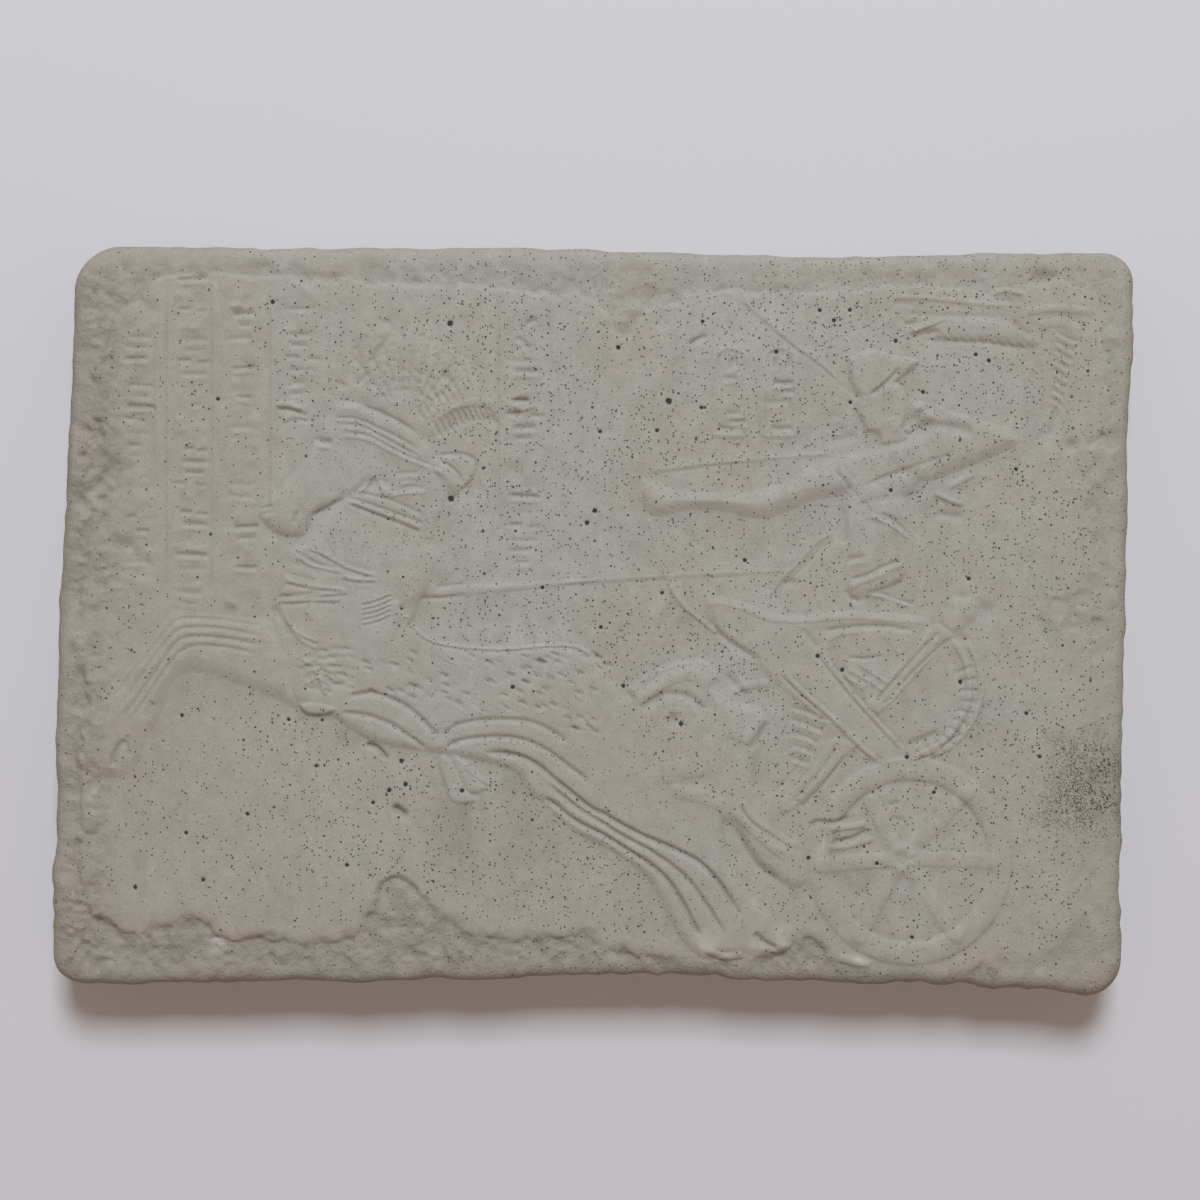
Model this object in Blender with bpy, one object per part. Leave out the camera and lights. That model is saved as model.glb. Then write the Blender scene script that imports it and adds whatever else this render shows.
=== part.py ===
"""A small cast concrete wall plaque with a chariot scene in low relief.

Units are metres and +Z is up. The plaque stands upright as it hangs: its face looks along -Y, its flat
back lies in the plane y = 0, and the middle of the back is the origin.
"""

import bmesh
import bpy
import numpy as np

PLAQUE_WIDTH = 0.300
PLAQUE_HEIGHT = 0.208
SLAB_THICKNESS = 0.0175
EDGE_ROUND = 0.0050
SIDE_DRAFT = 0.0008
BACK_FLASH = 0.0004
RELIEF_HEIGHT = 0.0010
CELL = 0.0011
FACET_LIMIT = 9600
STONE_COLOUR = (0.353, 0.345, 0.309, 1.0)
STONE_ROUGHNESS = 0.88

# The carving is drawn on a sheet as wide as the plaque, in its own units, with y running down.
SHEET_LEFT = 50
SHEET_RIGHT = 1135
SHEET_TOP = 246
SHEET_BOTTOM = 998
SHEET_STEP = 2.0
SHEET_MARGIN = 10

# Heights of the main forms above the picture's ground, and depths below it, as shares of RELIEF_HEIGHT.
BORDER_DROP = 0.7
FOOT_DROP = 0.6
HORSE_HEIGHT = 1.05
NECK_SINK = 0.42
BREAST_HEIGHT = 1.45
RUMP_SWELL = 0.3
SKULL_HEIGHT = 0.85
HEADDRESS_HEIGHT = 0.55
CAB_HEIGHT = 0.5
WHEEL_HEIGHT = 0.6
ARM_HEIGHT = 1.25
BODY_HEIGHT = 0.85
CROWN_HEIGHT = 1.05
WING_HEIGHT = 0.55

# The slab leans a little to one side. Each corner is a place and a radius on the sheet, clockwise from
# the top left, and each side's wave is how far it strays outwards between two corners.
CORNERS = (((76, 246), 48), ((1135, 252), 36), ((1121, 996), 42), ((50, 985), 42))
SIDE_WAVES = (
    (0, 0, 0, 0, 2, -1, -3, -6, -3, -1, 0),
    (0, 0, -3, -2, -2, -3, -4, -3, -2, -3, 0),
    (0, -6, -9, -10, -12, -16, -15, -11, -8, -5, -3, -3, 0),
    (0, 1, -2, 3, 3, 4, 3, 2, 1, -1, 0),
)

across = np.arange(SHEET_LEFT - SHEET_MARGIN, SHEET_RIGHT + SHEET_MARGIN, SHEET_STEP)
down = np.arange(SHEET_TOP - SHEET_MARGIN, SHEET_BOTTOM + SHEET_MARGIN, SHEET_STEP)
relief = np.zeros((down.size, across.size))


def through(points, closed=False, cuts=4):
    """A smooth line through a few points."""
    points = np.array(points, float)
    if closed:
        knots = np.vstack([points[-1:], points, points[:2]])
    else:
        knots = np.vstack([2 * points[0] - points[1], points, 2 * points[-1] - points[-2]])
    part = np.linspace(0, 1, cuts, endpoint=False)[:, None]
    runs = []
    for before, start, end, after in zip(knots[:-3], knots[1:-2], knots[2:-1], knots[3:]):
        square = 2 * before - 5 * start + 4 * end - after
        cube = 3 * start - before - 3 * end + after
        runs.append(start + 0.5 * ((end - before) * part + square * part**2 + cube * part**3))
    runs.append(points[:1] if closed else points[-1:])
    return np.vstack(runs)


def between(places, low, high):
    """The first and last number of the sheet's rows or columns between two places."""
    first = int(np.clip(np.ceil((low - places[0]) / SHEET_STEP), 0, places.size))
    last = int(np.clip(np.floor((high - places[0]) / SHEET_STEP) + 1, first, places.size))
    return first, last


def measure(line, reach):
    """The part of the sheet near a line, with each point's distance from it and place along it."""
    low = line.min(axis=0) - reach
    high = line.max(axis=0) + reach
    left, right = between(across, low[0], high[0])
    top, bottom = between(down, low[1], high[1])
    gap = np.full((bottom - top, right - left), 4.0 * reach)
    along = np.zeros_like(gap)
    count = len(line) - 1
    for number, (start, end) in enumerate(zip(line[:-1], line[1:])):
        near = np.minimum(start, end) - reach
        far = np.maximum(start, end) + reach
        first_column, last_column = between(across, near[0], far[0])
        first_row, last_row = between(down, near[1], far[1])
        x = across[first_column:last_column][None, :] - start[0]
        y = down[first_row:last_row][:, None] - start[1]
        run = end - start
        part = np.clip((x * run[0] + y * run[1]) / max(run @ run, 1e-9), 0, 1)
        distance = np.hypot(x - part * run[0], y - part * run[1])
        here = (slice(first_row - top, last_row - top), slice(first_column - left, last_column - left))
        closer = distance < gap[here]
        gap[here] = np.where(closer, distance, gap[here])
        along[here] = np.where(closer, (number + part) / count, along[here])
    return (slice(top, bottom), slice(left, right)), gap, along


def enclosed(place, line):
    """Which points of a part of the sheet a closed line goes round."""
    x = across[place[1]]
    y = down[place[0]]
    inside = np.zeros((y.size, x.size), bool)
    for start, end in zip(line[:-1], line[1:]):
        rows = np.flatnonzero((start[1] > y) != (end[1] > y))
        if rows.size:
            crossing = start[0] + (y[rows] - start[1]) * (end[0] - start[0]) / (end[1] - start[1])
            inside[rows] ^= x < crossing[:, None]
    return inside


def quarter_round(share):
    """Rises from 0 to 1 as a rounded shoulder does."""
    return np.sin(np.clip(share, 0, 1) * np.pi / 2)


def fade(along, ends):
    """Lets a stroke run out at both ends, over a share of its length."""
    if ends == 0:
        return 1.0
    return quarter_round(along / ends) * quarter_round((1 - along) / ends)


def raise_shape(figure, outline, height, shoulder, ragged=None):
    """Raises a closed shape with rounded shoulders and joins it to the figure's other shapes."""
    line = through(outline, closed=True)
    place, gap, _ = measure(line, shoulder + SHEET_MARGIN)
    inward = np.where(enclosed(place, line), gap, -gap)
    if ragged is not None:
        inward = inward + ragged[place]
    figure[place] = np.maximum(figure[place], height * quarter_round(inward / shoulder))


def raise_figure(shapes):
    """Lays a figure on the ground. Its shapes overlap and the tallest shows."""
    figure = np.zeros_like(relief)
    for outline, height, shoulder in shapes:
        raise_shape(figure, outline, height, shoulder)
    relief[:] += figure


def soften(times):
    """Wears the carving's edges down."""
    for _ in range(times):
        for axis in (0, 1):
            sides = np.roll(relief, 1, axis) + np.roll(relief, -1, axis)
            relief[:] = 0.5 * relief + 0.25 * sides


def band(path, width, height, ends=0.08, fullness=2.0):
    """Lays a raised band with a rounded back along a path."""
    place, gap, along = measure(through(path), width / 2 + SHEET_STEP)
    back = np.clip(1 - (gap / (width / 2)) ** fullness, 0, None) ** (1 / fullness)
    relief[place] += height * back * fade(along, ends)


def groove(path, width, depth, ends=0.15):
    """Cuts a soft-edged line along a path."""
    place, gap, along = measure(through(path), 1.3 * width)
    relief[place] -= depth * np.exp(-((gap / (width / 2)) ** 2)) * fade(along, ends)


def hollow(spot, radius, depth):
    """Presses a soft dip at a spot."""
    place, gap, _ = measure(np.array([spot, spot], float), 2.5 * radius)
    relief[place] -= depth * np.exp(-((gap / radius) ** 2))


def cloud(size, seed):
    """Soft lumps of a given size over the sheet, between -1 and 1, the same on each run."""
    lattice = np.random.RandomState(seed).uniform(-1, 1, (300, 300))

    def lattice_places(places):
        whole = np.floor(places / size).astype(int)
        part = places / size - whole
        return whole % 299, part * part * (3 - 2 * part)

    column, x = lattice_places(across)
    row, y = lattice_places(down)
    upper = lattice[row][:, column] * (1 - x) + lattice[row][:, column + 1] * x
    lower = lattice[row + 1][:, column] * (1 - x) + lattice[row + 1][:, column + 1] * x
    return upper * (1 - y[:, None]) + lower * y[:, None]


# The picture's ground ends in a broken edge. Clockwise from the top left.
GROUND_EDGE = (
    (128, 312), (150, 295), (175, 278), (300, 279), (395, 286), (500, 290), (560, 296), (592, 302),
    (610, 320), (622, 336), (640, 312), (672, 306), (690, 294), (760, 293), (850, 292), (930, 290),
    (1000, 294), (1045, 280), (1092, 300), (1105, 400), (1085, 470), (1082, 510), (1090, 540),
    (1070, 597), (1042, 600), (1033, 614), (1058, 665), (1078, 700), (1080, 760), (1090, 850),
    (1080, 895), (1050, 945), (1000, 962), (950, 973), (900, 974), (830, 960), (806, 936), (790, 944),
    (765, 957), (700, 962), (645, 953), (605, 946), (585, 934), (510, 937), (475, 932), (450, 918),
    (430, 905), (415, 885), (400, 876), (385, 885), (372, 918), (355, 932), (330, 940), (260, 936),
    (220, 931), (190, 911), (170, 922), (145, 933), (120, 926), (95, 905), (84, 860), (85, 760),
    (92, 700), (86, 640), (90, 560), (104, 505), (130, 482), (112, 445), (98, 410), (106, 350),
)
LEFT_CHIPS = (((116, 474), 13, 1.2), ((100, 435), 13, 0.8), ((100, 486), 9, 0.9), ((78, 500), 15, 0.6))
LEFT_LUMP = ((88, 462), 22, -0.9)


def break_border():
    """Sinks the border round the picture, deepest along the bottom, and leaves it lumpy."""
    ground = np.zeros_like(relief)
    ragged = 4 * cloud(16, 3) + 2 * cloud(6, 4)
    raise_shape(ground, GROUND_EDGE, 1.0, 7, ragged)
    broken = 1 - ground
    foot = np.clip((down - 700) / 230, 0, 1)
    head = np.clip((320 - down) / 40, 0, 1)
    low = BORDER_DROP + FOOT_DROP * foot + 0.2 * head
    sides = np.minimum(across - 62, 1128 - across)[None, :]
    ends = np.minimum(down - 250, 986 - down)[:, None]
    outer_rim = np.exp(-((np.minimum(sides, ends) / 18) ** 2))
    rim_share = 0.8 * np.clip((down - 500) / 400, 0.35, 1)
    drop = low[:, None] - rim_share[:, None] * outer_rim
    relief[:] -= broken * drop
    relief[:] += broken * (0.36 * cloud(34, 5) + 0.3 * cloud(13, 6))
    for spot, radius, depth in (LEFT_LUMP, *LEFT_CHIPS):
        hollow(spot, radius, depth)


HORSE_TRUNK = (
    (300, 556), (345, 552), (400, 562), (412, 600), (414, 622), (442, 640), (500, 647), (562, 643),
    (590, 652), (614, 680), (628, 693), (655, 688), (690, 690), (715, 730), (722, 790), (724, 850),
    (748, 935), (705, 955), (678, 933), (660, 898), (630, 860), (605, 845), (580, 833), (543, 800),
    (519, 774), (490, 761), (430, 750), (365, 735), (345, 722), (302, 703), (288, 685), (277, 640),
    (280, 600),
)
HORSE_RUMP = (
    (628, 694), (645, 682), (662, 669), (682, 662), (700, 662), (718, 686), (732, 699), (764, 715),
    (752, 775), (760, 800), (775, 830), (806, 872), (795, 885), (758, 864), (735, 828), (722, 819),
    (680, 801), (640, 770),
)
HORSE_FAR_HIND_LEG = (
    (655, 798), (682, 823), (705, 834), (728, 861), (757, 898), (778, 930), (790, 943), (770, 952),
    (745, 950), (718, 885), (695, 862), (650, 820),
)
HORSE_BREAST = ((302, 702), (314, 699), (328, 700), (342, 706), (322, 715), (308, 712))
HORSE_FORELEGS = (
    (172, 616), (182, 611), (215, 613), (250, 617), (278, 622), (300, 650), (304, 704), (262, 690),
    (220, 676), (188, 673), (172, 700), (149, 742), (134, 772), (108, 776), (80, 762), (104, 708),
    (130, 672), (152, 645),
)
HORSE_SKULL = (
    (262, 512), (288, 484), (303, 468), (316, 447), (326, 426), (338, 407), (352, 404), (370, 409),
    (405, 425), (432, 446), (452, 460), (444, 474), (425, 484), (378, 481), (349, 499), (316, 518),
    (313, 530), (303, 538), (285, 537), (270, 527),
)
HORSE_NECK = (
    (292, 556), (306, 540), (345, 498), (400, 480), (440, 470), (458, 486), (444, 512), (436, 535),
    (440, 560), (425, 600), (395, 640), (300, 640), (280, 600),
)
HORSE_EAR = ((434, 462), (462, 457), (481, 470), (477, 482), (455, 497), (446, 484))
GIRTH_STRAPS = (
    (((352, 695), (375, 692), (400, 700), (418, 712), (440, 733)), 0.5),
    (((345, 711), (370, 714), (395, 723), (428, 746)), 0.45),
    (((445, 735), (458, 724), (480, 719), (530, 720), (568, 740)), 0.4),
    (((448, 745), (480, 736), (520, 737), (550, 750), (590, 780)), 0.5),
    (((486, 751), (520, 754), (555, 777), (592, 806), (650, 836), (695, 857), (718, 880), (738, 912)), 0.75),
    (((548, 780), (590, 813), (635, 840), (678, 868), (702, 897), (722, 930)), 0.6),
    (((545, 795), (570, 814), (615, 839), (658, 868), (682, 900), (699, 932)), 0.75),
)


def carve_horse():
    """The galloping horse: trunk, rump and legs, the head with its bridle, and the straps of its girth."""
    body = np.zeros_like(relief)
    for outline in (HORSE_TRUNK, HORSE_RUMP, HORSE_FAR_HIND_LEG, HORSE_FORELEGS, HORSE_NECK):
        raise_shape(body, outline, HORSE_HEIGHT, 10)
    raise_shape(body, HORSE_BREAST, BREAST_HEIGHT, 5)
    # the neck sinks towards the head
    body *= 1 - NECK_SINK * np.clip((580 - down[:, None]) / 75, 0, 1)
    relief[:] += body
    raise_figure(((HORSE_RUMP, RUMP_SWELL, 34),))
    raise_figure(((HORSE_SKULL, SKULL_HEIGHT, 9), (HORSE_EAR, 0.7, 6)))
    band(((622, 700), (640, 691), (660, 679), (682, 673), (700, 675), (710, 690)), 26, 0.35)
    groove(((640, 706), (655, 699), (675, 694), (704, 708)), 10, 0.3)
    groove(((732, 826), (745, 846), (778, 876)), 9, 0.4)
    hollow((671, 719), 7, 0.6)
    for path, depth in GIRTH_STRAPS:
        groove(path, 6, depth, ends=0.06)
    for drop in range(3):
        lift = 11 * drop
        groove(((158, 656 + lift / 3), (180, 626 + lift), (196, 621 + lift), (262, 633 + lift)), 6, 0.35)
    for drop in range(3):
        groove(((340, 412 + 9 * drop), (370, 415 + 10 * drop), (420, 441 + 10 * drop)), 6, 0.4)
    groove(((322, 442), (333, 445)), 7, 0.6, ends=0)
    band(((352, 502), (380, 512), (424, 529)), 7, 0.4)
    band(((366, 498), (385, 503), (424, 519)), 6, 0.4)


HEADDRESS = (
    (343, 398), (352, 378), (370, 336), (384, 325), (400, 327), (445, 352), (485, 388), (500, 412),
    (490, 424), (442, 436), (400, 424), (368, 408),
)
SADDLE_PAD = ((398, 564), (408, 553), (431, 544), (452, 560), (458, 575), (420, 580), (402, 600))
YOKE_POLE = ((434, 593), (442, 588), (520, 582), (600, 579), (600, 582), (500, 593), (440, 599))
TASSEL_LOBES = (
    ((446, 752), (440, 762), (452, 799), (466, 802), (480, 798), (458, 765)),
    ((455, 752), (462, 778), (470, 790), (488, 784), (470, 768)),
)


def carve_harness():
    """Plumes over the head, the collar's petals, the saddle pad with the yoke's pole, and a tassel."""
    raise_figure(((HEADDRESS, HEADDRESS_HEIGHT, 16),))
    band(((432, 432), (440, 422), (458, 411), (492, 403)), 9, 0.5)
    band(((426, 414), (440, 403), (468, 384)), 8, 0.35)
    raise_figure(((SADDLE_PAD, 0.8, 9), (YOKE_POLE, 0.5, 4)))
    groove(((412, 582), (428, 586), (448, 584)), 9, 0.6)
    for turn in range(5):
        drop = 12 * turn
        band(((300 - 2 * turn, 556 + drop), (322, 566 + drop * 0.8), (352, 572 + drop * 0.6)), 6, 0.3)
    raise_figure(tuple((lobe, 0.7, 5) for lobe in TASSEL_LOBES))


CAB = (
    (704, 604), (718, 600), (745, 606), (800, 617), (850, 613), (925, 619), (948, 660), (960, 690),
    (955, 725), (905, 760), (870, 762), (840, 740), (770, 680), (718, 632),
)
CAB_RIM = ((705, 603), (720, 601), (768, 617), (850, 615), (925, 620))
QUIVER = ((866, 698), (925, 628), (932, 622), (948, 634), (940, 645), (882, 708), (872, 712))
BOW_CASE = ((832, 735), (850, 742), (800, 800), (782, 812), (776, 806), (815, 750))
CAB_TUFT = ((936, 612), (944, 600), (958, 596), (975, 612), (950, 632))
WHEEL_CENTRE = np.array((906, 858))
WHEEL_RADIUS = 101
WHEEL_RIM = 22
WHEEL_HUB = 19
WHEEL_SPOKE = 14
SPOKE_TURNS = (0, 52, 126, 180, 235, 303)


def carve_chariot():
    """The light cab with its quiver, bow case and ribbed rail, over a six-spoked wheel."""
    raise_figure(((CAB, CAB_HEIGHT, 8),))
    band(CAB_RIM, 9, 0.5)
    groove(((818, 631), (845, 627), (915, 631)), 6, 0.45)
    groove(((703, 616), (716, 632), (760, 661)), 7, 0.55)
    band(((783, 672), (831, 715), (876, 758)), 8, 0.4)
    band(((822, 655), (850, 690), (905, 748)), 7, 0.4)
    raise_figure(((QUIVER, 0.5, 5), (BOW_CASE, 0.5, 6), (CAB_TUFT, 0.5, 7)))
    hollow((981, 610), 9, 0.8)
    for shift in (0, 12):
        band(((950 + shift, 640), (964 + shift, 680), (954 + shift, 722), (906 + shift, 757)), 7, 0.4)
    for rung in range(5):
        drop = 12.5 * rung
        groove(((788, 705 + drop), (804, 710 + drop), (826 - 5 * rung, 719 + drop * 0.9)), 6, 0.35)
    turns = np.linspace(0, 2 * np.pi, 33)
    circle = np.column_stack([np.cos(turns), np.sin(turns)])
    rim_radius = WHEEL_RADIUS - WHEEL_RIM / 2
    band(WHEEL_CENTRE + rim_radius * circle, WHEEL_RIM, WHEEL_HEIGHT, ends=0, fullness=2.6)
    for turn in np.radians(SPOKE_TURNS):
        outward = np.array((np.cos(turn), np.sin(turn)))
        spoke = (WHEEL_CENTRE + WHEEL_HUB * outward, WHEEL_CENTRE + (WHEEL_RADIUS - WHEEL_RIM) * outward)
        band(spoke, WHEEL_SPOKE, 0.8 * WHEEL_HEIGHT, ends=0, fullness=3)
    raise_figure(((WHEEL_CENTRE + WHEEL_HUB * circle[:-1], WHEEL_HEIGHT, 7),))


ARROW_ARM = (
    (642, 480), (655, 482), (700, 493), (750, 491), (782, 483), (806, 468), (856, 456), (856, 490),
    (808, 503), (768, 519), (748, 519), (700, 511), (660, 518), (637, 497),
)
BODY_AND_KILT = (
    (828, 460), (880, 447), (905, 441), (965, 448), (915, 485), (905, 505), (910, 530), (902, 580),
    (858, 600), (840, 570), (838, 530),
)
DRAWING_ARM = (
    (903, 404), (918, 403), (975, 421), (1000, 429), (1013, 438), (1010, 449), (955, 472), (925, 483),
    (895, 478), (884, 444), (905, 437), (905, 418),
)
HEAD_AND_NECK = (
    (856, 398), (876, 384), (893, 385), (905, 415), (906, 444), (880, 448), (862, 434), (853, 414),
)
TALL_CROWN = (
    (846, 364), (856, 355), (872, 352), (914, 362), (900, 380), (868, 402), (856, 400), (846, 384),
)


def carve_archer():
    """The archer standing in the cab, with a tall crown and one arm drawn back, and the wide bow."""
    raise_figure((
        (ARROW_ARM, ARM_HEIGHT, 11),
        (BODY_AND_KILT, BODY_HEIGHT, 10),
        (DRAWING_ARM, ARM_HEIGHT, 11),
        (HEAD_AND_NECK, BODY_HEIGHT, 6),
        (TALL_CROWN, CROWN_HEIGHT, 7),
    ))
    groove(((866, 398), (880, 388), (897, 371)), 5, 0.55)
    groove(((912, 434), (930, 428), (950, 430), (968, 433)), 12, 0.9)
    groove(((828, 443), (840, 441), (854, 437)), 9, 0.5)
    groove(((678, 473), (705, 469), (745, 465)), 5, 0.4)
    for fold in range(3):
        groove(((904 - 4 * fold, 540 + 18 * fold), (880, 556 + 15 * fold), (846, 568 + 12 * fold)), 6, 0.35)
    band(((738, 302), (762, 322), (820, 368), (838, 386)), 5, 0.3)
    band(((712, 328), (676, 366), (652, 410), (642, 480)), 5, 0.2)
    band(((648, 520), (655, 545), (672, 590), (700, 620)), 5, 0.3)
    band(((829, 533), (796, 563), (764, 600)), 5, 0.35)


WING = ((905, 330), (930, 322), (980, 322), (1015, 326), (1035, 342), (1005, 349), (940, 345))


def carve_wing():
    """The outspread wing above the archer, with its bands and the tips of its long feathers."""
    raise_figure(((WING, WING_HEIGHT, 10),))
    band(((888, 301), (920, 302), (1000, 310)), 7, 0.4)
    band(((1020, 316), (1050, 312), (1085, 316)), 8, 0.25)
    groove(((932, 344), (980, 346), (1028, 353)), 6, 0.55)
    for feather in range(5):
        drop = 13 * feather
        groove(((1046 - feather, 354 + drop), (1057, 361 + drop), (1069 - 2 * feather, 366 + drop)), 6, 0.35)
    hollow((1066, 447), 6, 0.9)


# Columns of strokes that stand for an inscription: place across, and the first and last row.
SIGN_COLUMNS = ((147, 313, 585), (197, 285, 594), (245, 308, 601), (303, 298, 382), (524, 373, 557))
SIGN_SPACING = 20
SIGN_HALF_WIDTH = 13
NAME_FRAMES = ((731, 385), (731, 433), (779, 385), (779, 433))


def carve_signs():
    """Rows of shallow strokes in the inscription's place. They aren't letters."""
    choice = np.random.RandomState(4)
    for x, top, bottom in SIGN_COLUMNS:
        for y in np.linspace(top, bottom, 1 + round((bottom - top) / SIGN_SPACING)):
            half = SIGN_HALF_WIDTH * choice.uniform(0.7, 1.3)
            sag = choice.uniform(-2, 3)
            groove(((x - half, y - sag), (x, y), (x + half, y - sag)), 7, choice.uniform(0.3, 0.7))
    for x, y in NAME_FRAMES:
        groove(((x - SIGN_HALF_WIDTH, y - 1), (x, y), (x + SIGN_HALF_WIDTH, y - 1)), 6, 0.45)


def place_on_plaque(points):
    """Sheet places as x and z on the plaque, in metres."""
    x = (points[:, 0] - (SHEET_LEFT + SHEET_RIGHT) / 2) / (SHEET_RIGHT - SHEET_LEFT) * PLAQUE_WIDTH
    z = ((SHEET_TOP + SHEET_BOTTOM) / 2 - points[:, 1]) / (SHEET_BOTTOM - SHEET_TOP) * PLAQUE_HEIGHT
    return np.column_stack([x, z])


def place_on_sheet(points):
    """The other way: x and z on the plaque as columns and rows of the sheet."""
    x = points[:, 0] / PLAQUE_WIDTH * (SHEET_RIGHT - SHEET_LEFT) + (SHEET_LEFT + SHEET_RIGHT) / 2
    y = (SHEET_TOP + SHEET_BOTTOM) / 2 - points[:, 1] / PLAQUE_HEIGHT * (SHEET_BOTTOM - SHEET_TOP)
    column = np.clip((x - across[0]) / SHEET_STEP, 0, across.size - 1.001)
    row = np.clip((y - down[0]) / SHEET_STEP, 0, down.size - 1.001)
    return column, row


def read_sheet(points):
    """The relief's height in metres at places on the plaque."""
    column, row = place_on_sheet(points)
    j = column.astype(int)
    i = row.astype(int)
    u = column - j
    v = row - i
    upper = relief[i, j] * (1 - u) + relief[i, j + 1] * u
    lower = relief[i + 1, j] * (1 - u) + relief[i + 1, j + 1] * u
    return (upper * (1 - v) + lower * v) * RELIEF_HEIGHT


def slab_outline():
    """Four smooth sides of the slab's outline, each from the middle of one corner to the next."""
    arcs = []
    runs = []
    for number in range(4):
        before, here, after = (np.array(CORNERS[(number + k) % 4][0], float) for k in (-1, 0, 1))
        radius = CORNERS[number][1]
        next_radius = CORNERS[(number + 1) % 4][1]
        came = (here - before) / np.linalg.norm(here - before)
        goes = (after - here) / np.linalg.norm(after - here)
        turn = np.linspace(0, np.pi / 2, 17)[:, None]
        arcs.append(here - came * radius * (1 - np.sin(turn)) + goes * radius * (1 - np.cos(turn)))
        share = np.linspace(0, 1, 60)[1:-1]
        wave = through(list(enumerate(SIDE_WAVES[number])))
        stray = np.interp(share, wave[:, 0] / wave[-1, 0], wave[:, 1])
        outward = np.array((goes[1], -goes[0]))
        start = here + goes * radius
        end = after - goes * next_radius
        runs.append(start + (end - start) * share[:, None] + outward * stray[:, None])
    middle = 8
    sides = []
    for number in range(4):
        following = arcs[(number + 1) % 4]
        sides.append(place_on_plaque(np.vstack([arcs[number][middle:], runs[number], following[: middle + 1]])))
    return sides


def spaced(line, count):
    """A line cut into equal steps of its length."""
    steps = np.linalg.norm(np.diff(line, axis=0), axis=1)
    length = np.concatenate([[0], np.cumsum(steps)])
    wanted = np.linspace(0, length[-1], count + 1)
    return np.column_stack([np.interp(wanted, length, line[:, 0]), np.interp(wanted, length, line[:, 1])])


def ring_normals(ring):
    """Outward directions round a closed ring that runs clockwise as seen from the front."""
    along = np.roll(ring, -1, axis=0) - np.roll(ring, 1, axis=0)
    along /= np.linalg.norm(along, axis=1, keepdims=True)
    return np.column_stack([-along[:, 1], along[:, 0]])


def inset_sides(sides, distance):
    """The outline moved inwards, still as four sides."""
    ring = np.vstack([side[:-1] for side in sides])
    ring = ring - ring_normals(ring) * distance
    starts = np.cumsum([0] + [len(side) - 1 for side in sides])
    closed = np.vstack([ring, ring[:1]])
    return [closed[starts[k] : starts[k + 1] + 1] for k in range(4)]


def face_places(sides, columns, rows):
    """Places over the face that follow its four sides, row by row from the bottom."""
    top = spaced(sides[0], columns)
    right = spaced(sides[1], rows)[::-1]
    bottom = spaced(sides[2], columns)[::-1]
    left = spaced(sides[3], rows)
    u = np.linspace(0, 1, columns + 1)[None, :, None]
    v = np.linspace(0, 1, rows + 1)[:, None, None]
    across_face = left[:, None] * (1 - u) + right[:, None] * u
    up_face = bottom[None] * (1 - v) + top[None] * v
    corner = (bottom[0] * (1 - u) + bottom[-1] * u) * (1 - v) + (top[0] * (1 - u) + top[-1] * u) * v
    return (across_face + up_face - corner).reshape(-1, 2)


def edge_profile():
    """Rings from the face's edge to the back: how far out each lies, and its y."""
    rings = []
    for turn in np.linspace(0, np.pi / 2, 5)[1:]:
        rings.append((EDGE_ROUND * np.sin(turn), -SLAB_THICKNESS + EDGE_ROUND * (1 - np.cos(turn))))
    side = SLAB_THICKNESS - EDGE_ROUND
    for share in (0.45, 0.9, 1.0):
        rings.append((EDGE_ROUND + SIDE_DRAFT * share, -side * (1 - share)))
    return rings


def boundary_ring(mesh):
    """The face's boundary vertices in order, clockwise as seen from the front."""
    start = next(edge for edge in mesh.edges if edge.is_boundary).verts[0]
    ring = []
    vertex = start
    came = None
    while not ring or vertex != start:
        ring.append(vertex)
        came = next(edge for edge in vertex.link_edges if edge.is_boundary and edge != came)
        vertex = came.other_vert(vertex)
    places = np.array([(vertex.co.x, vertex.co.z) for vertex in ring])
    following = np.roll(places, -1, axis=0)
    if (places[:, 0] * following[:, 1] - following[:, 0] * places[:, 1]).sum() > 0:
        ring.reverse()
    return ring


def ring_edges(mesh, ring):
    """The edges that join a ring's vertices."""
    return [mesh.edges.get((start, end)) for start, end in zip(ring, ring[1:] + ring[:1])]


def make_plaque():
    """The casting: a carved face, rounded edges, drafted sides with a rough back edge, and a flat back."""
    face_sides = inset_sides(slab_outline(), EDGE_ROUND + SIDE_DRAFT)
    columns = round(PLAQUE_WIDTH / CELL)
    rows = round(PLAQUE_HEIGHT / CELL)
    places = face_places(face_sides, columns, rows)
    mesh = bmesh.new()
    bmesh.ops.create_grid(mesh, x_segments=columns, y_segments=rows, size=1)
    for vertex, (x, z), height in zip(mesh.verts, places, read_sheet(places)):
        vertex.co = (x, -SLAB_THICKNESS - height, z)
    ring = boundary_ring(mesh)
    face_edge = np.array([(vertex.co.x, vertex.co.z) for vertex in ring])
    outward = ring_normals(face_edge)
    flash = BACK_FLASH * np.random.RandomState(9).uniform(-1, 1, len(ring))
    for out, y in edge_profile():
        spread = face_edge + outward * out
        if y == 0:
            spread = spread + outward * flash[:, None]
        lift = read_sheet(spread) * max(0, 1 - out / EDGE_ROUND)
        added = bmesh.ops.extrude_edge_only(mesh, edges=ring_edges(mesh, ring))
        fresh = {part for part in added["geom"] if isinstance(part, bmesh.types.BMVert)}
        ring = [
            next(edge.other_vert(vertex) for edge in vertex.link_edges if edge.other_vert(vertex) in fresh)
            for vertex in ring
        ]
        for vertex, (x, z), height in zip(ring, spread, lift):
            vertex.co = (x, y - height, z)
    bmesh.ops.edgeloop_fill(mesh, edges=ring_edges(mesh, ring))
    bmesh.ops.recalc_face_normals(mesh, faces=mesh.faces)
    data = bpy.data.meshes.new("relief_plaque")
    mesh.to_mesh(data)
    mesh.free()
    return data


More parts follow.
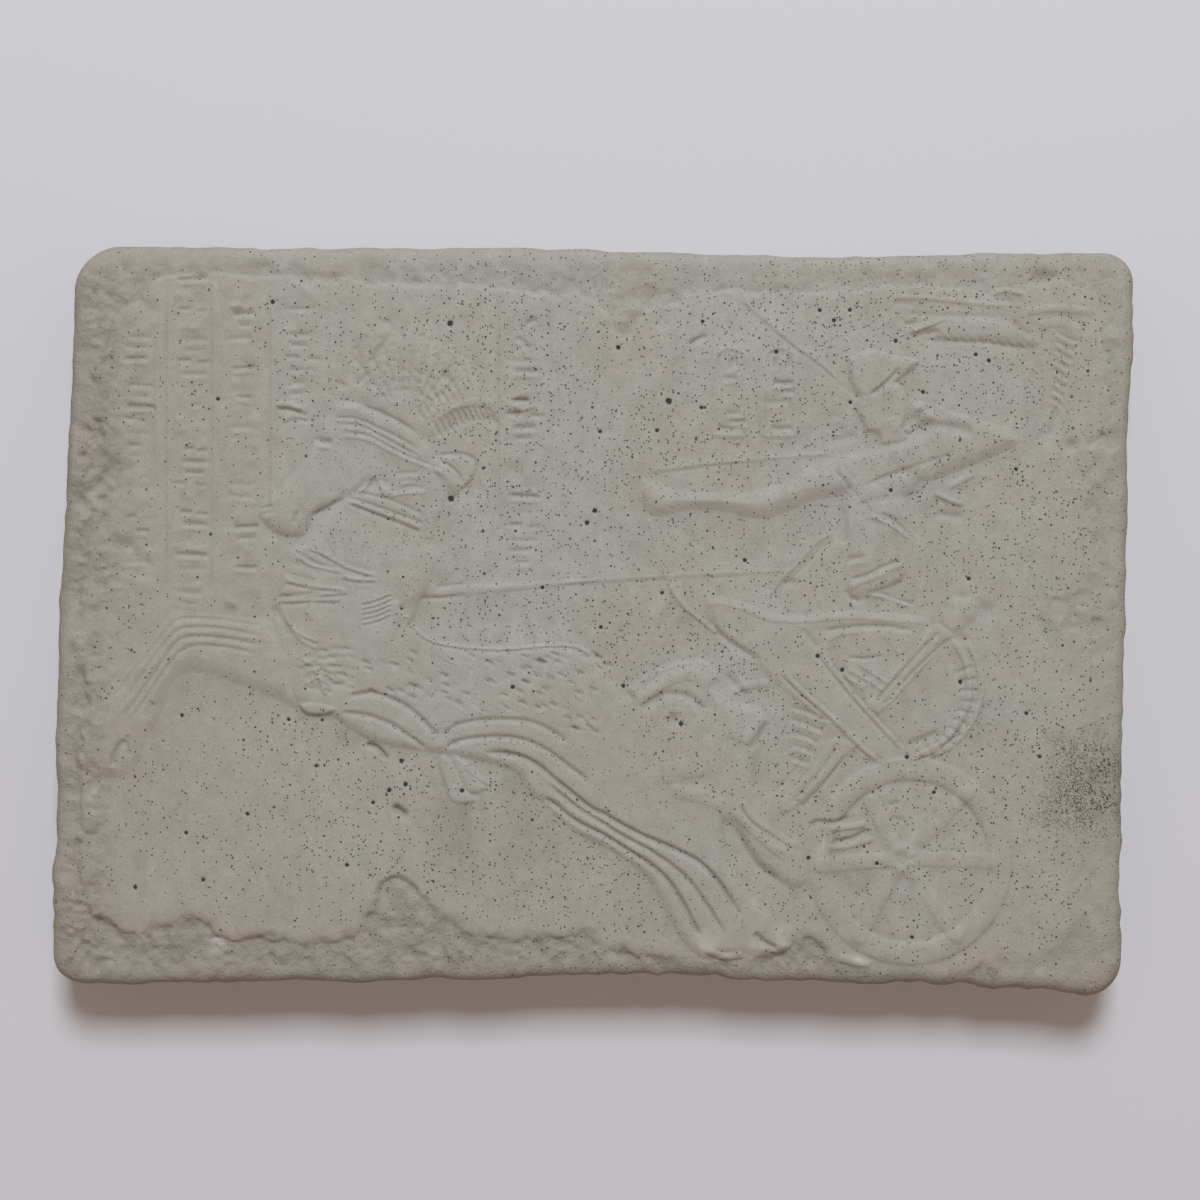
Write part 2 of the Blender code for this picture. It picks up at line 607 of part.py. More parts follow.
def thin_out(plaque):
    """Keeps only as many facets as the carving needs, and the back flat."""
    facets = sum(len(face.vertices) - 2 for face in plaque.data.polygons)
    fewer = plaque.modifiers.new("fewer facets", "DECIMATE")
    fewer.ratio = min(1.0, FACET_LIMIT / facets)
    evaluated = plaque.evaluated_get(bpy.context.evaluated_depsgraph_get())
    data = bpy.data.meshes.new_from_object(evaluated)
    plaque.modifiers.clear()
    plaque.data = data
    for vertex in data.vertices:
        if vertex.co.y > -BACK_FLASH:
            vertex.co.y = 0.0


def cast_concrete():
    """Bare grey concrete, slightly warm and quite rough."""
    stone = bpy.data.materials.new("cast_concrete")
    stone.use_nodes = True
    shader = stone.node_tree.nodes["Principled BSDF"]
    shader.inputs["Base Color"].default_value = STONE_COLOUR
    shader.inputs["Roughness"].default_value = STONE_ROUGHNESS
    shader.inputs["Metallic"].default_value = 0.0
    return stone


for thing in list(bpy.data.objects):
    bpy.data.objects.remove(thing, do_unlink=True)

break_border()
carve_horse()
carve_harness()
carve_chariot()
carve_archer()
carve_wing()
carve_signs()
soften(2)
relief_plaque = bpy.data.objects.new("relief_plaque", make_plaque())
bpy.context.scene.collection.objects.link(relief_plaque)
thin_out(relief_plaque)
relief_plaque.data.materials.append(cast_concrete())
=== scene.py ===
"""The carved concrete plaque as it looks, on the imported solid, with its light and its camera."""

import bmesh
import bpy
import numpy as np
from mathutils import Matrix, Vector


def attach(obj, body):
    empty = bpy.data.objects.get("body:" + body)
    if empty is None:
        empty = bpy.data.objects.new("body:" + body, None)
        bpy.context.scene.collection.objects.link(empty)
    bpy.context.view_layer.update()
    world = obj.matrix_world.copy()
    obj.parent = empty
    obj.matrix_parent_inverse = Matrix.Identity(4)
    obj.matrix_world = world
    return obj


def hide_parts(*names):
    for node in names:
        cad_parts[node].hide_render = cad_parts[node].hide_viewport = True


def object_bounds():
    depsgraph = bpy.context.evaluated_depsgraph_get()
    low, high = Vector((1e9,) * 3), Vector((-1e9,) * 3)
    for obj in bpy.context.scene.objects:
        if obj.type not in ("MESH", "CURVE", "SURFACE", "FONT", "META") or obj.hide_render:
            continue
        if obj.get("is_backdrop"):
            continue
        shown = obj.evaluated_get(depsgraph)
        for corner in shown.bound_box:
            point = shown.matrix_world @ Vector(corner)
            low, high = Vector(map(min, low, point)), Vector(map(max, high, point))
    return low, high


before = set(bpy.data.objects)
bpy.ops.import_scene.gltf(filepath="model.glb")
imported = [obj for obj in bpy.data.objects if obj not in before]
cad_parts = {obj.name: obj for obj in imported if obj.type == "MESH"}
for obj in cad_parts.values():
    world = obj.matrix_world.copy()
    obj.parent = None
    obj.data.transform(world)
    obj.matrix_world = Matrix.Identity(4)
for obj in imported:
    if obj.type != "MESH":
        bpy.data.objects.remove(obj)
cad_low, cad_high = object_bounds()
bpy.context.scene.view_settings.view_transform = "Standard"

# The border of the casting's face, left as if broken off: lower than the picture's ground, lumpy,
# deepest along the foot, and rising again to the slab's outer edge. The face is drawn as a sheet that
# the mould would give, its heights in millimetres above the ground, with y running down.
SHEET_LEFT = 50
SHEET_RIGHT = 1135
SHEET_TOP = 246
SHEET_BOTTOM = 998
SHEET_STEP = 1.0
SHEET_MARGIN = 10

across = np.arange(SHEET_LEFT - SHEET_MARGIN, SHEET_RIGHT + SHEET_MARGIN, SHEET_STEP)
down = np.arange(SHEET_TOP - SHEET_MARGIN, SHEET_BOTTOM + SHEET_MARGIN, SHEET_STEP)
relief = np.zeros((down.size, across.size))


def through(points, closed=False, cuts=4):
    """A smooth line through a few points."""
    points = np.array(points, float)
    if closed:
        knots = np.vstack([points[-1:], points, points[:2]])
    else:
        knots = np.vstack([2 * points[0] - points[1], points, 2 * points[-1] - points[-2]])
    part = np.linspace(0, 1, cuts, endpoint=False)[:, None]
    runs = []
    for before, start, end, after in zip(knots[:-3], knots[1:-2], knots[2:-1], knots[3:]):
        square = 2 * before - 5 * start + 4 * end - after
        cube = 3 * start - before - 3 * end + after
        runs.append(start + 0.5 * ((end - before) * part + square * part**2 + cube * part**3))
    runs.append(points[:1] if closed else points[-1:])
    return np.vstack(runs)


def between(places, low, high):
    """The first and last number of the sheet's rows or columns between two places."""
    first = int(np.clip(np.ceil((low - places[0]) / SHEET_STEP), 0, places.size))
    last = int(np.clip(np.floor((high - places[0]) / SHEET_STEP) + 1, first, places.size))
    return first, last


def measure(line, reach):
    """The part of the sheet near a line, with each point's distance from it and place along it."""
    low = line.min(axis=0) - reach
    high = line.max(axis=0) + reach
    left, right = between(across, low[0], high[0])
    top, bottom = between(down, low[1], high[1])
    gap = np.full((bottom - top, right - left), 4.0 * reach)
    along = np.zeros_like(gap)
    count = len(line) - 1
    for number, (start, end) in enumerate(zip(line[:-1], line[1:])):
        near = np.minimum(start, end) - reach
        far = np.maximum(start, end) + reach
        first_column, last_column = between(across, near[0], far[0])
        first_row, last_row = between(down, near[1], far[1])
        x = across[first_column:last_column][None, :] - start[0]
        y = down[first_row:last_row][:, None] - start[1]
        run = end - start
        part = np.clip((x * run[0] + y * run[1]) / max(run @ run, 1e-9), 0, 1)
        distance = np.hypot(x - part * run[0], y - part * run[1])
        here = (slice(first_row - top, last_row - top), slice(first_column - left, last_column - left))
        closer = distance < gap[here]
        gap[here] = np.where(closer, distance, gap[here])
        along[here] = np.where(closer, (number + part) / count, along[here])
    return (slice(top, bottom), slice(left, right)), gap, along


def enclosed(place, line):
    """Which points of a part of the sheet a closed line goes round."""
    x = across[place[1]]
    y = down[place[0]]
    inside = np.zeros((y.size, x.size), bool)
    for start, end in zip(line[:-1], line[1:]):
        rows = np.flatnonzero((start[1] > y) != (end[1] > y))
        if rows.size:
            crossing = start[0] + (y[rows] - start[1]) * (end[0] - start[0]) / (end[1] - start[1])
            inside[rows] ^= x < crossing[:, None]
    return inside


def quarter_round(share):
    """Rises from 0 to 1 as a rounded shoulder does."""
    return np.sin(np.clip(share, 0, 1) * np.pi / 2)


def raised(*shapes, ragged=None):
    """A figure of closed shapes with rounded shoulders. They overlap and the tallest shows.

    Each shape is an outline, its height and the width of its shoulder.
    """
    figure = np.zeros_like(relief)
    for outline, height, shoulder in shapes:
        line = through(outline, closed=True)
        place, gap, _ = measure(line, shoulder + SHEET_MARGIN)
        inward = np.where(enclosed(place, line), gap, -gap)
        if ragged is not None:
            inward = inward + ragged[place]
        figure[place] = np.maximum(figure[place], height * quarter_round(inward / shoulder))
    return figure


def hollow(spot, radius, depth):
    """Presses a soft dip at a spot."""
    place, gap, _ = measure(np.array([spot, spot], float), 2.5 * radius)
    relief[place] -= depth * np.exp(-((gap / radius) ** 2))


def cloud(size, seed):
    """Soft lumps of a given size over the sheet, between -1 and 1, the same on each run."""
    lattice = np.random.RandomState(seed).uniform(-1, 1, (300, 300))

    def lattice_places(places):
        whole = np.floor(places / size).astype(int)
        part = places / size - whole
        return whole % 299, part * part * (3 - 2 * part)

    column, x = lattice_places(across)
    row, y = lattice_places(down)
    upper = lattice[row][:, column] * (1 - x) + lattice[row][:, column + 1] * x
    lower = lattice[row + 1][:, column] * (1 - x) + lattice[row + 1][:, column + 1] * x
    return upper * (1 - y[:, None]) + lower * y[:, None]


PANEL_EDGE = [
    (128, 312), (150, 295), (175, 278), (230, 276), (300, 279), (395, 286), (440, 289), (500, 290),
    (560, 296), (592, 302), (610, 320), (622, 336), (632, 328), (640, 312), (672, 306), (690, 294),
    (760, 293), (800, 295), (850, 292), (870, 287), (930, 290), (1000, 294), (1045, 280),
    (1070, 285), (1092, 300), (1102, 340), (1105, 400), (1095, 440), (1085, 470), (1082, 510),
    (1090, 540), (1085, 575), (1070, 597), (1042, 600), (1033, 614), (1045, 640), (1058, 665),
    (1078, 700), (1080, 760), (1088, 800), (1090, 850), (1080, 895), (1065, 925), (1050, 945),
    (1030, 955), (1000, 962), (950, 973), (900, 974), (860, 968), (830, 960), (806, 936),
    (790, 944), (765, 957), (735, 962), (700, 962), (645, 953), (605, 946), (585, 934), (540, 938),
    (510, 937), (475, 932), (450, 918), (430, 905), (415, 885), (400, 876), (385, 885), (372, 918),
    (355, 932), (330, 940), (290, 940), (260, 936), (238, 938), (220, 931), (205, 917), (190, 911),
    (170, 922), (145, 933), (120, 926), (95, 905), (84, 860), (88, 800), (85, 760), (92, 700),
    (86, 640), (90, 560), (104, 505), (130, 482), (112, 445), (98, 410), (106, 350),
]
ragged = 4 * cloud(16, 3) + 2.2 * cloud(6, 4)
panel = raised((PANEL_EDGE, 1.0, 7), ragged=ragged)
worn_step = raised((PANEL_EDGE, 1.0, 15), ragged=0.7 * ragged)
x = across[None, :]
y = down[:, None]
at_foot = np.clip((y - 880) / 40, 0, 1)
panel += (worn_step - panel) * 0.8 * at_foot
broken = 1 - panel
EDGE_LEFT, EDGE_RIGHT, EDGE_TOP, EDGE_BOTTOM = 62, 1128, 250, 986
low = 0.7 + 0.6 * np.clip((y - 700) / 230, 0, 1) + 0.2 * np.clip((320 - y) / 40, 0, 1)
to_side = np.minimum(x - EDGE_LEFT, EDGE_RIGHT - x)
to_end = np.minimum(y - EDGE_TOP, EDGE_BOTTOM - y)
rim = np.minimum(to_side, to_end)
low = low - 0.8 * np.exp(-((rim / 18) ** 2)) * np.clip((y - 500) / 400, 0.35, 1)
calm = np.clip((x - 975) / 60, 0, 1) * np.clip((y - 625) / 40, 0, 1)
low = low * (1 - 0.7 * calm)
relief -= broken * low
lumpy = 0.36 * cloud(34, 5) + 0.42 * cloud(13, 6) + (0.2 + 0.16 * at_foot) * cloud(5.5, 7)
relief += broken * lumpy * (1 - 0.65 * calm)
# the left side crumbled most, down to the forelegs
upper_left = np.clip((150 - x) / 40, 0, 1) * np.clip((y - 255) / 30, 0, 1)
upper_left = upper_left * np.clip((640 - y) / 60, 0, 1)
lower_left = 0.8 * np.clip((128 - x) / 24, 0, 1) * np.clip((y - 600) / 40, 0, 1)
crumbled = np.maximum(upper_left, lower_left)
rubble = 0.3 * cloud(17, 9) + 0.36 * cloud(8.5, 10) + 0.2 * cloud(4.2, 12)
relief += crumbled * (rubble + 0.25 * np.maximum(rubble, 0))
# lumps and chips of the left border
BORDER_LUMPS = (
    ((88, 462), 22, -0.9), ((116, 474), 13, 1.2), ((78, 500), 15, 0.6), ((95, 620), 22, 0.4),
    ((100, 435), 13, 0.8), ((82, 700), 18, 0.3), ((1040, 282), 10, 0.6), ((66, 640), 12, 0.5),
    ((100, 486), 9, 0.9), ((90, 459), 6, 0.8), ((98, 470), 7, 0.9), ((106, 482), 5, 0.8),
    ((110, 497), 8, 0.6), ((86, 501), 7, 0.6), ((134, 546), 7, 0.7), ((142, 556), 6, 0.5),
    ((155, 565), 6, 0.4), ((91, 272), 8, 0.5), ((157, 313), 7, 0.6), ((87, 353), 8, 0.4),
    ((106, 435), 8, 0.5), ((84, 482), 8, -0.6), ((126, 532), 9, -0.5), ((86, 520), 9, -0.5),
    ((140, 503), 10, -0.35), ((75, 512), 7, -0.4),
)
for spot, size, depth in BORDER_LUMPS:
    hollow(spot, size, depth)

# The horse, galloping to the left with both forelegs stretched out. It is cast in one with the ground:
# one soft rounded form about a millimetre proud, with a scaly blanket over its trunk and straps that
# run back along its belly and on as the far hind leg.
FINE_WIDTH = 9
FINE_GAIN = 1.5


def fade(along, ends):
    """Lets a stroke run out at both ends, over a share of its length."""
    if ends == 0:
        return 1.0
    return quarter_round(along / ends) * quarter_round((1 - along) / ends)


def band(path, width, height, ends=0.08, fullness=2.0):
    """Lays a raised band with a rounded back along a path."""
    place, gap, along = measure(through(path), width / 2 + SHEET_STEP)
    back = np.clip(1 - (gap / (width / 2)) ** fullness, 0, None) ** (1 / fullness)
    if width < FINE_WIDTH:
        height *= FINE_GAIN
    relief[place] += height * back * fade(along, ends)


def groove(path, width, depth, ends=0.15):
    """Cuts a soft-edged line along a path."""
    place, gap, along = measure(through(path), 1.3 * width)
    if width < FINE_WIDTH:
        depth *= FINE_GAIN
    relief[place] -= depth * np.exp(-((gap / (width / 2)) ** 2)) * fade(along, ends)


TRUNK = (
    (300, 556), (345, 552), (400, 562), (412, 600), (414, 622), (428, 633), (442, 640), (462, 645),
    (500, 647), (535, 644), (562, 643), (590, 652), (604, 665), (614, 680), (628, 693), (655, 688),
    (690, 690), (715, 730), (722, 790), (724, 850), (742, 905), (748, 935), (740, 950), (722, 950),
    (705, 955), (692, 948), (678, 933), (668, 915), (660, 898), (650, 880), (630, 860), (605, 845),
    (580, 833), (560, 817), (543, 800), (532, 793), (525, 784), (519, 774), (508, 767), (490, 761),
    (470, 757), (430, 750), (395, 745), (365, 735), (345, 722), (328, 710), (302, 703), (288, 685),
    (277, 640), (280, 600),
)
# rump and near hind leg
NEAR_HIND_LEG = (
    (628, 694), (645, 682), (662, 669), (682, 662), (700, 662), (711, 671), (718, 686), (732, 699),
    (752, 703), (764, 715), (760, 745), (752, 775), (760, 800), (775, 830), (800, 850), (806, 872),
    (795, 885), (775, 876), (758, 864), (745, 846), (735, 828), (722, 819), (700, 810), (680, 801),
    (664, 793), (640, 770),
)
FAR_HIND_LEG = (
    (655, 798), (668, 812), (682, 823), (705, 834), (719, 846), (728, 861), (745, 884), (757, 898),
    (772, 912), (778, 930), (790, 943), (770, 952), (745, 950), (735, 920), (718, 885), (695, 862),
    (665, 842), (650, 820),
)
BREAST_BOSS = ((302, 702), (314, 699), (328, 700), (342, 706), (338, 712), (322, 715), (308, 712))
FORELEGS = (
    (172, 616), (182, 611), (215, 613), (250, 617), (278, 622), (300, 650), (304, 704), (283, 699),
    (262, 690), (240, 683), (220, 676), (200, 672), (188, 673), (179, 682), (172, 700), (160, 724),
    (149, 742), (146, 757), (134, 772), (120, 776), (108, 776), (95, 770), (80, 762), (88, 735),
    (104, 708), (130, 672), (152, 645),
)
# neck, sinking towards the head
NECK = (
    (292, 556), (306, 540), (345, 498), (400, 480), (440, 470), (458, 486), (444, 512), (436, 535),
    (440, 560), (425, 600), (395, 640), (300, 640), (280, 600),
)
body = raised(
    (TRUNK, 1.0, 10), (NEAR_HIND_LEG, 1.0, 11), (FAR_HIND_LEG, 1.0, 10), (BREAST_BOSS, 1.4, 5),
    (FORELEGS, 1.2, 18), (NECK, 1.0, 11),
)
body *= 1 - 0.42 * np.clip((580 - down[:, None]) / 75, 0, 1)
relief += body
# the rump swells over the trunk
RUMP = (
    (628, 694), (645, 682), (662, 669), (700, 662), (718, 686), (764, 715), (752, 775), (775, 830),
    (758, 864), (735, 828), (680, 801), (640, 770),
)
relief += raised((RUMP, 0.3, 34))
HAUNCH = (
    (640, 702), (654, 677), (682, 663), (712, 668), (736, 690), (748, 720), (744, 750), (728, 772),
    (700, 780), (670, 770), (648, 745), (637, 720),
)
relief += raised((HAUNCH, 0.38, 28))
# crisp upper contours of the trunk and the rump
band(
    [(404, 606), (420, 630), (445, 643), (500, 648), (562, 644), (590, 653), (612, 678)],
    4.5, 0.42,
)
band([(628, 692), (645, 680), (664, 668), (700, 661), (716, 678)], 5, 0.3)
# haunch muscle
band([(630, 697), (645, 688), (662, 676), (682, 669), (700, 671), (712, 684)], 22, 0.5)
groove([(640, 708), (655, 698), (670, 692), (690, 697), (702, 710)], 8, 0.45)
band([(662, 772), (680, 768), (705, 762)], 20, 0.35)
band([(670, 788), (700, 794), (722, 803)], 14, 0.3)
hollow((671, 719), 7, 0.7)
band([(668, 708), (680, 709)], 6, 0.25)
groove([(705, 700), (712, 715), (708, 735)], 10, 0.25)
groove([(722, 735), (735, 745), (738, 755)], 10, 0.25)
band([(762, 716), (752, 728), (742, 742)], 10, 0.35)
groove([(748, 748), (758, 734), (765, 720)], 7, 0.3)
band([(730, 690), (750, 684), (768, 682)], 8, 0.25)
groove([(725, 672), (735, 686), (748, 696)], 7, 0.35)
band([(732, 808), (750, 826), (768, 842), (785, 855)], 9, 0.35)
groove([(732, 826), (745, 846), (762, 868), (778, 876)], 9, 0.4)
band([(740, 798), (752, 816), (772, 829), (795, 844)], 7, 0.35)
groove([(780, 848), (792, 860), (802, 874)], 10, 0.35)
groove([(752, 928), (762, 938), (775, 944)], 6, 0.7)
band([(705, 945), (722, 952), (742, 950)], 7, 0.4)
# scales of the blanket
choice = np.random.RandomState(11)
for number in range(330):
    x = choice.uniform(312, 612)
    y = choice.uniform(600, 735)
    roof = 652 if x > 400 else 660
    floor = 697 + max(0, x - 400) * 0.28 if x < 450 else 714 - max(0, x - 560) * 0.5
    if roof < y < floor - 4 or (x > 560 and 700 < y < 735 and x < 606):
        width = choice.uniform(2.6, 4)
        depth = choice.uniform(0.1, 0.42)
        groove([(x - 2.2, y - 1.2), (x + 2.2, y + 1.0)], width, depth, ends=0)
# girth straps along the belly, running on as the far hind leg
STRAPS = (
    (0.5, (352, 695), (375, 692), (400, 700), (418, 712), (432, 726), (440, 733)),
    (0.45, (345, 711), (370, 714), (395, 723), (412, 735), (428, 746)),
    (0.4, (445, 735), (458, 724), (480, 719), (505, 718), (530, 720), (550, 728), (568, 740)),
    (
        0.5, (448, 745), (462, 739), (480, 736), (500, 735), (520, 737), (535, 742), (550, 750),
        (565, 761), (590, 780),
    ),
    (
        0.75, (486, 751), (505, 751), (520, 754), (532, 759), (545, 768), (555, 777), (568, 787),
        (580, 797), (592, 806), (605, 812), (620, 821), (635, 829), (650, 836), (665, 842),
        (680, 849), (695, 857), (708, 868), (718, 880), (727, 894), (738, 912),
    ),
    (
        0.6, (548, 780), (560, 791), (575, 803), (590, 813), (605, 822), (620, 832), (635, 840),
        (650, 848), (665, 858), (678, 868), (690, 880), (702, 897), (712, 912), (722, 930),
    ),
    (
        0.75, (545, 795), (556, 802), (570, 814), (585, 823), (600, 830), (615, 839), (630, 849),
        (645, 858), (658, 868), (670, 881), (682, 900), (692, 920), (699, 932),
    ),
)
for depth, *path in STRAPS:
    groove(path, 5, depth, ends=0.06)
# knotted tassel under the belly
TASSEL = (
    (
        (446, 752), (440, 762), (447, 785), (452, 799), (466, 802), (480, 798), (470, 788),
        (458, 765),
    ),
    ((452, 752), (462, 778), (470, 790), (480, 791), (488, 784), (470, 768)),
    ((455, 752), (470, 760), (488, 778), (490, 783), (475, 778), (458, 764)),
)
relief += raised(*[(path, 0.7, 5) for path in TASSEL])
groove([(372, 743), (380, 746), (388, 755)], 5, 0.9, ends=0)
groove([(399, 806), (406, 811)], 7, 1.2, ends=0)
FORELEG_FOLDS = (
    (0.3, (118, 700), (140, 670), (160, 645), (180, 622), (196, 618), (230, 620), (268, 626)),
    (0.3, (122, 712), (146, 678), (164, 652), (182, 631), (200, 627), (232, 629), (268, 636)),
    (0.32, (130, 716), (150, 688), (168, 662), (184, 641), (200, 636), (232, 638), (268, 645)),
    (0.28, (136, 722), (156, 692), (172, 668), (188, 650), (204, 645), (232, 647), (262, 653)),
)
for depth, *path in FORELEG_FOLDS:
    groove(path, 4, depth, ends=0.1)
groove([(128, 700), (140, 682), (152, 668)], 9, 0.3)
groove([(118, 765), (124, 748), (132, 738)], 6, 0.6)
groove([(136, 755), (133, 742), (135, 732)], 5, 0.4)
groove([(150, 716), (160, 700)], 8, 0.25)
band([(105, 735), (120, 712), (135, 690)], 14, 0.25)

# The horse's head, half a millimetre higher than its neck, with a bridle, cheek plates and throat
# straps, and behind the neck the yoke's pad with the start of the pole. All is cast in one, and its
# lines are the finest of the carving.


def lip(path, height, run, ends=0.12, soft=2.0):
    """Raises the right-hand side of a path, sharply at it and fading away from it."""
    line = through(path)
    place, gap, along = measure(line, 3 * run)
    x = across[place[1]][None, :]
    y = down[place[0]][:, None]
    side = np.ones_like(gap)
    nearest = np.full_like(gap, np.inf)
    for start, end in zip(line[:-1], line[1:]):
        turn = end - start
        toward = (x - start[0]) * turn[0] + (y - start[1]) * turn[1]
        share = np.clip(toward / max(turn @ turn, 1e-9), 0, 1)
        off_x = x - start[0] - share * turn[0]
        off_y = y - start[1] - share * turn[1]
        distance = np.hypot(off_x, off_y)
        side = np.where(distance < nearest, np.sign(turn[0] * off_y - turn[1] * off_x), side)
        nearest = np.minimum(distance, nearest)
    signed = gap * side
    edge = np.clip((signed + soft / 2) / soft, 0, 1)
    edge = edge * edge * (3 - 2 * edge)
    away = np.exp(-np.clip(signed, 0, None) / run)
    relief[place] += height * edge * away * fade(along, ends) * (gap < 3 * run)


SKULL = (
    (262, 512), (271, 499), (288, 484), (303, 468), (316, 447), (326, 426), (338, 407), (352, 404),
    (370, 409), (405, 425), (432, 446), (452, 460), (444, 474), (425, 484), (400, 488), (378, 481),
    (364, 490), (349, 499), (330, 509), (316, 518), (313, 530), (303, 538), (285, 537), (270, 527),
)
skull = raised((SKULL, 0.85, 8))
relief += skull * np.clip((450 - across) / 75, 0, 1)
MUZZLE = (
    (262, 512), (271, 499), (288, 484), (303, 468), (318, 462), (332, 478), (333, 500), (316, 518),
    (313, 530), (303, 538), (285, 537), (270, 527),
)
relief += raised((MUZZLE, 0.5, 24))
groove([(270, 523), (283, 532), (297, 533), (309, 527)], 18, 0.4)
groove([(316, 517), (330, 510), (348, 500)], 4, 0.3)
# bridle bands over the brow
for path in (
    [(366, 409), (382, 414), (400, 423), (418, 434)],
    [(336, 421), (358, 421), (382, 431), (402, 440), (420, 452)],
    [(338, 427), (362, 428), (385, 439), (405, 450), (424, 460)],
    [(345, 434), (370, 438), (392, 449), (410, 458), (432, 467)],
):
    groove(path, 3.2, 0.33)
band([(345, 438), (372, 442), (395, 454), (418, 464), (450, 478)], 5, 0.22)
band([(338, 412), (350, 410), (362, 413)], 9, 0.25)
# worn strokes over the nose
groove([(281, 412), (295, 413), (311, 418)], 4, 0.4, ends=0.1)
groove([(286, 427), (300, 422), (312, 424)], 4, 0.3, ends=0.1)
band([(280, 407), (292, 407), (306, 412)], 6, 0.3)
# eye
groove([(322, 442), (333, 445)], 6, 0.55, ends=0)
band([(322, 449), (334, 450)], 5, 0.2)
# nostril and mouth
groove([(266, 510), (276, 508)], 4, 0.35, ends=0)
groove([(268, 515), (278, 513)], 4, 0.25, ends=0)
groove([(298, 523), (301, 515)], 4, 0.35, ends=0)
hollow((311, 528), 3.5, 0.5)
# cheek plates
band([(362, 494), (370, 486), (377, 476)], 5, 0.35)
band([(381, 478), (386, 490), (391, 498)], 6, 0.3)
for x, y in ((396, 476), (398, 484), (402, 490)):
    groove([(x, y + 1), (x + 12, y - 2), (x + 26, y - 1)], 3.5, 0.22)
band([(392, 498), (408, 495), (428, 494)], 4, 0.2)
# throat straps
band([(354, 502), (380, 512), (405, 521), (424, 529)], 5, 0.25, ends=0.05)
groove([(352, 499), (380, 508), (405, 517), (426, 525)], 3.2, 0.3, ends=0.05)
groove([(352, 506), (378, 516), (402, 525), (422, 533)], 3.2, 0.3, ends=0.05)
groove([(366, 495), (385, 499), (405, 506), (426, 516)], 3.2, 0.25, ends=0.05)
# ear
EAR = (
    (434, 462), (445, 457), (462, 457), (474, 461), (481, 470), (477, 482), (462, 492), (455, 497),
    (446, 484), (436, 474),
)
relief += raised((EAR, 0.7, 6))
groove(
    [(436, 458), (450, 456), (466, 456), (476, 461), (479, 469), (474, 481), (464, 494)],
    3.2, 0.3,
)
groove([(440, 462), (452, 468), (461, 477), (464, 486)], 3.2, 0.4)
groove([(432, 470), (444, 478), (452, 488), (456, 497)], 4, 0.14)
# back of the neck
band([(440, 508), (435, 522), (431, 540)], 9, 0.35)
# saddle pad and pole
YOKE_PAD = (
    (398, 564), (408, 553), (420, 546), (431, 544), (442, 549), (452, 560), (458, 575), (445, 582),
    (440, 592), (422, 600), (404, 604),
)
relief += raised((YOKE_PAD, 0.5, 14))
groove([(422, 598), (440, 598), (466, 595)], 3.6, 0.3)
groove([(438, 587), (466, 584)], 3.4, 0.2)
POLE_START = (
    (434, 593), (442, 588), (470, 585), (520, 582), (580, 579), (600, 579), (600, 581), (560, 587),
    (500, 593), (460, 597), (440, 599),
)
relief += raised((POLE_START, 0.3, 4))
band([(560, 583), (620, 579), (680, 575), (760, 572), (795, 570)], 3.5, 0.1)
groove([(560, 587), (640, 582), (760, 576)], 3, 0.08)
lip([(401, 600), (404, 612), (413, 624)], 0.5, 8)
groove([(403, 606), (410, 616)], 5, 0.3)

# The headdress of plumes over the horse's head: a soft fan in low relief, with two hatched bands at
# its foot, and quills that spread from the brow with rows of small dots between them.
PLUMES = (
    (343, 398), (352, 378), (360, 355), (370, 336), (384, 325), (400, 327), (420, 338), (445, 352),
    (465, 372), (485, 388), (500, 412), (490, 424), (462, 422), (442, 436), (425, 440), (400, 424),
    (368, 408),
)
relief += raised((PLUMES, 0.55, 16))
groove([(370, 338), (362, 352), (357, 368)], 8, 0.3)
groove([(383, 328), (391, 326), (395, 335), (388, 345), (380, 357), (373, 368)], 6, 0.3)
lip([(425, 420), (440, 408), (458, 392), (472, 384)], 0.35, 9)
lip([(430, 438), (436, 424), (452, 411), (472, 402), (494, 402)], 0.35, 9)
for number in range(9):
    x = 420 + number * 6
    y = 415 - number * 3.8
    groove([(x, y - 5), (x + 5, y + 5)], 3.2, 0.26, ends=0)
for number in range(11):
    x = 438 + number * 5.5
    y = 431 - 15 * np.sin(number / 10 * 2.1)
    groove([(x - 2, y - 6), (x + 4, y + 6)], 3.2, 0.36, ends=0)
# quills, fanned out from the brow, with rows of small marks between them
for number in range(9):
    turn = np.radians(-128 + 11 * number)
    reach_out = 92 - 3.2 * abs(number - 3)
    start = (408 + 26 * np.cos(turn), 424 + 20 * np.sin(turn))
    end = (408 + reach_out * np.cos(turn), 424 + reach_out * np.sin(turn))
    groove([start, end], 3.4, 0.2, ends=0.2)
choice = np.random.RandomState(31)
for ring_number in range(7):
    for number in range(17):
        turn = np.radians(-130 + 5.6 * number + choice.uniform(-1.5, 1.5))
        reach_out = 32 + 9 * ring_number + choice.uniform(-2, 2)
        x = 408 + reach_out * np.cos(turn)
        y = 424 + reach_out * np.sin(turn)
        if choice.uniform() < 0.8:
            hollow((x, y), 2.2, choice.uniform(0.15, 0.42))
groove([(343, 386), (348, 389)], 6, 0.35, ends=0)
groove([(362, 385), (368, 380)], 6, 0.35, ends=0)
groove([(447, 376), (451, 383)], 8, 0.4, ends=0)
groove([(432, 388), (436, 396)], 8, 0.3, ends=0)
groove([(428, 352), (430, 362)], 10, 0.25, ends=0)
groove([(404, 335), (405, 343)], 8, 0.25, ends=0)

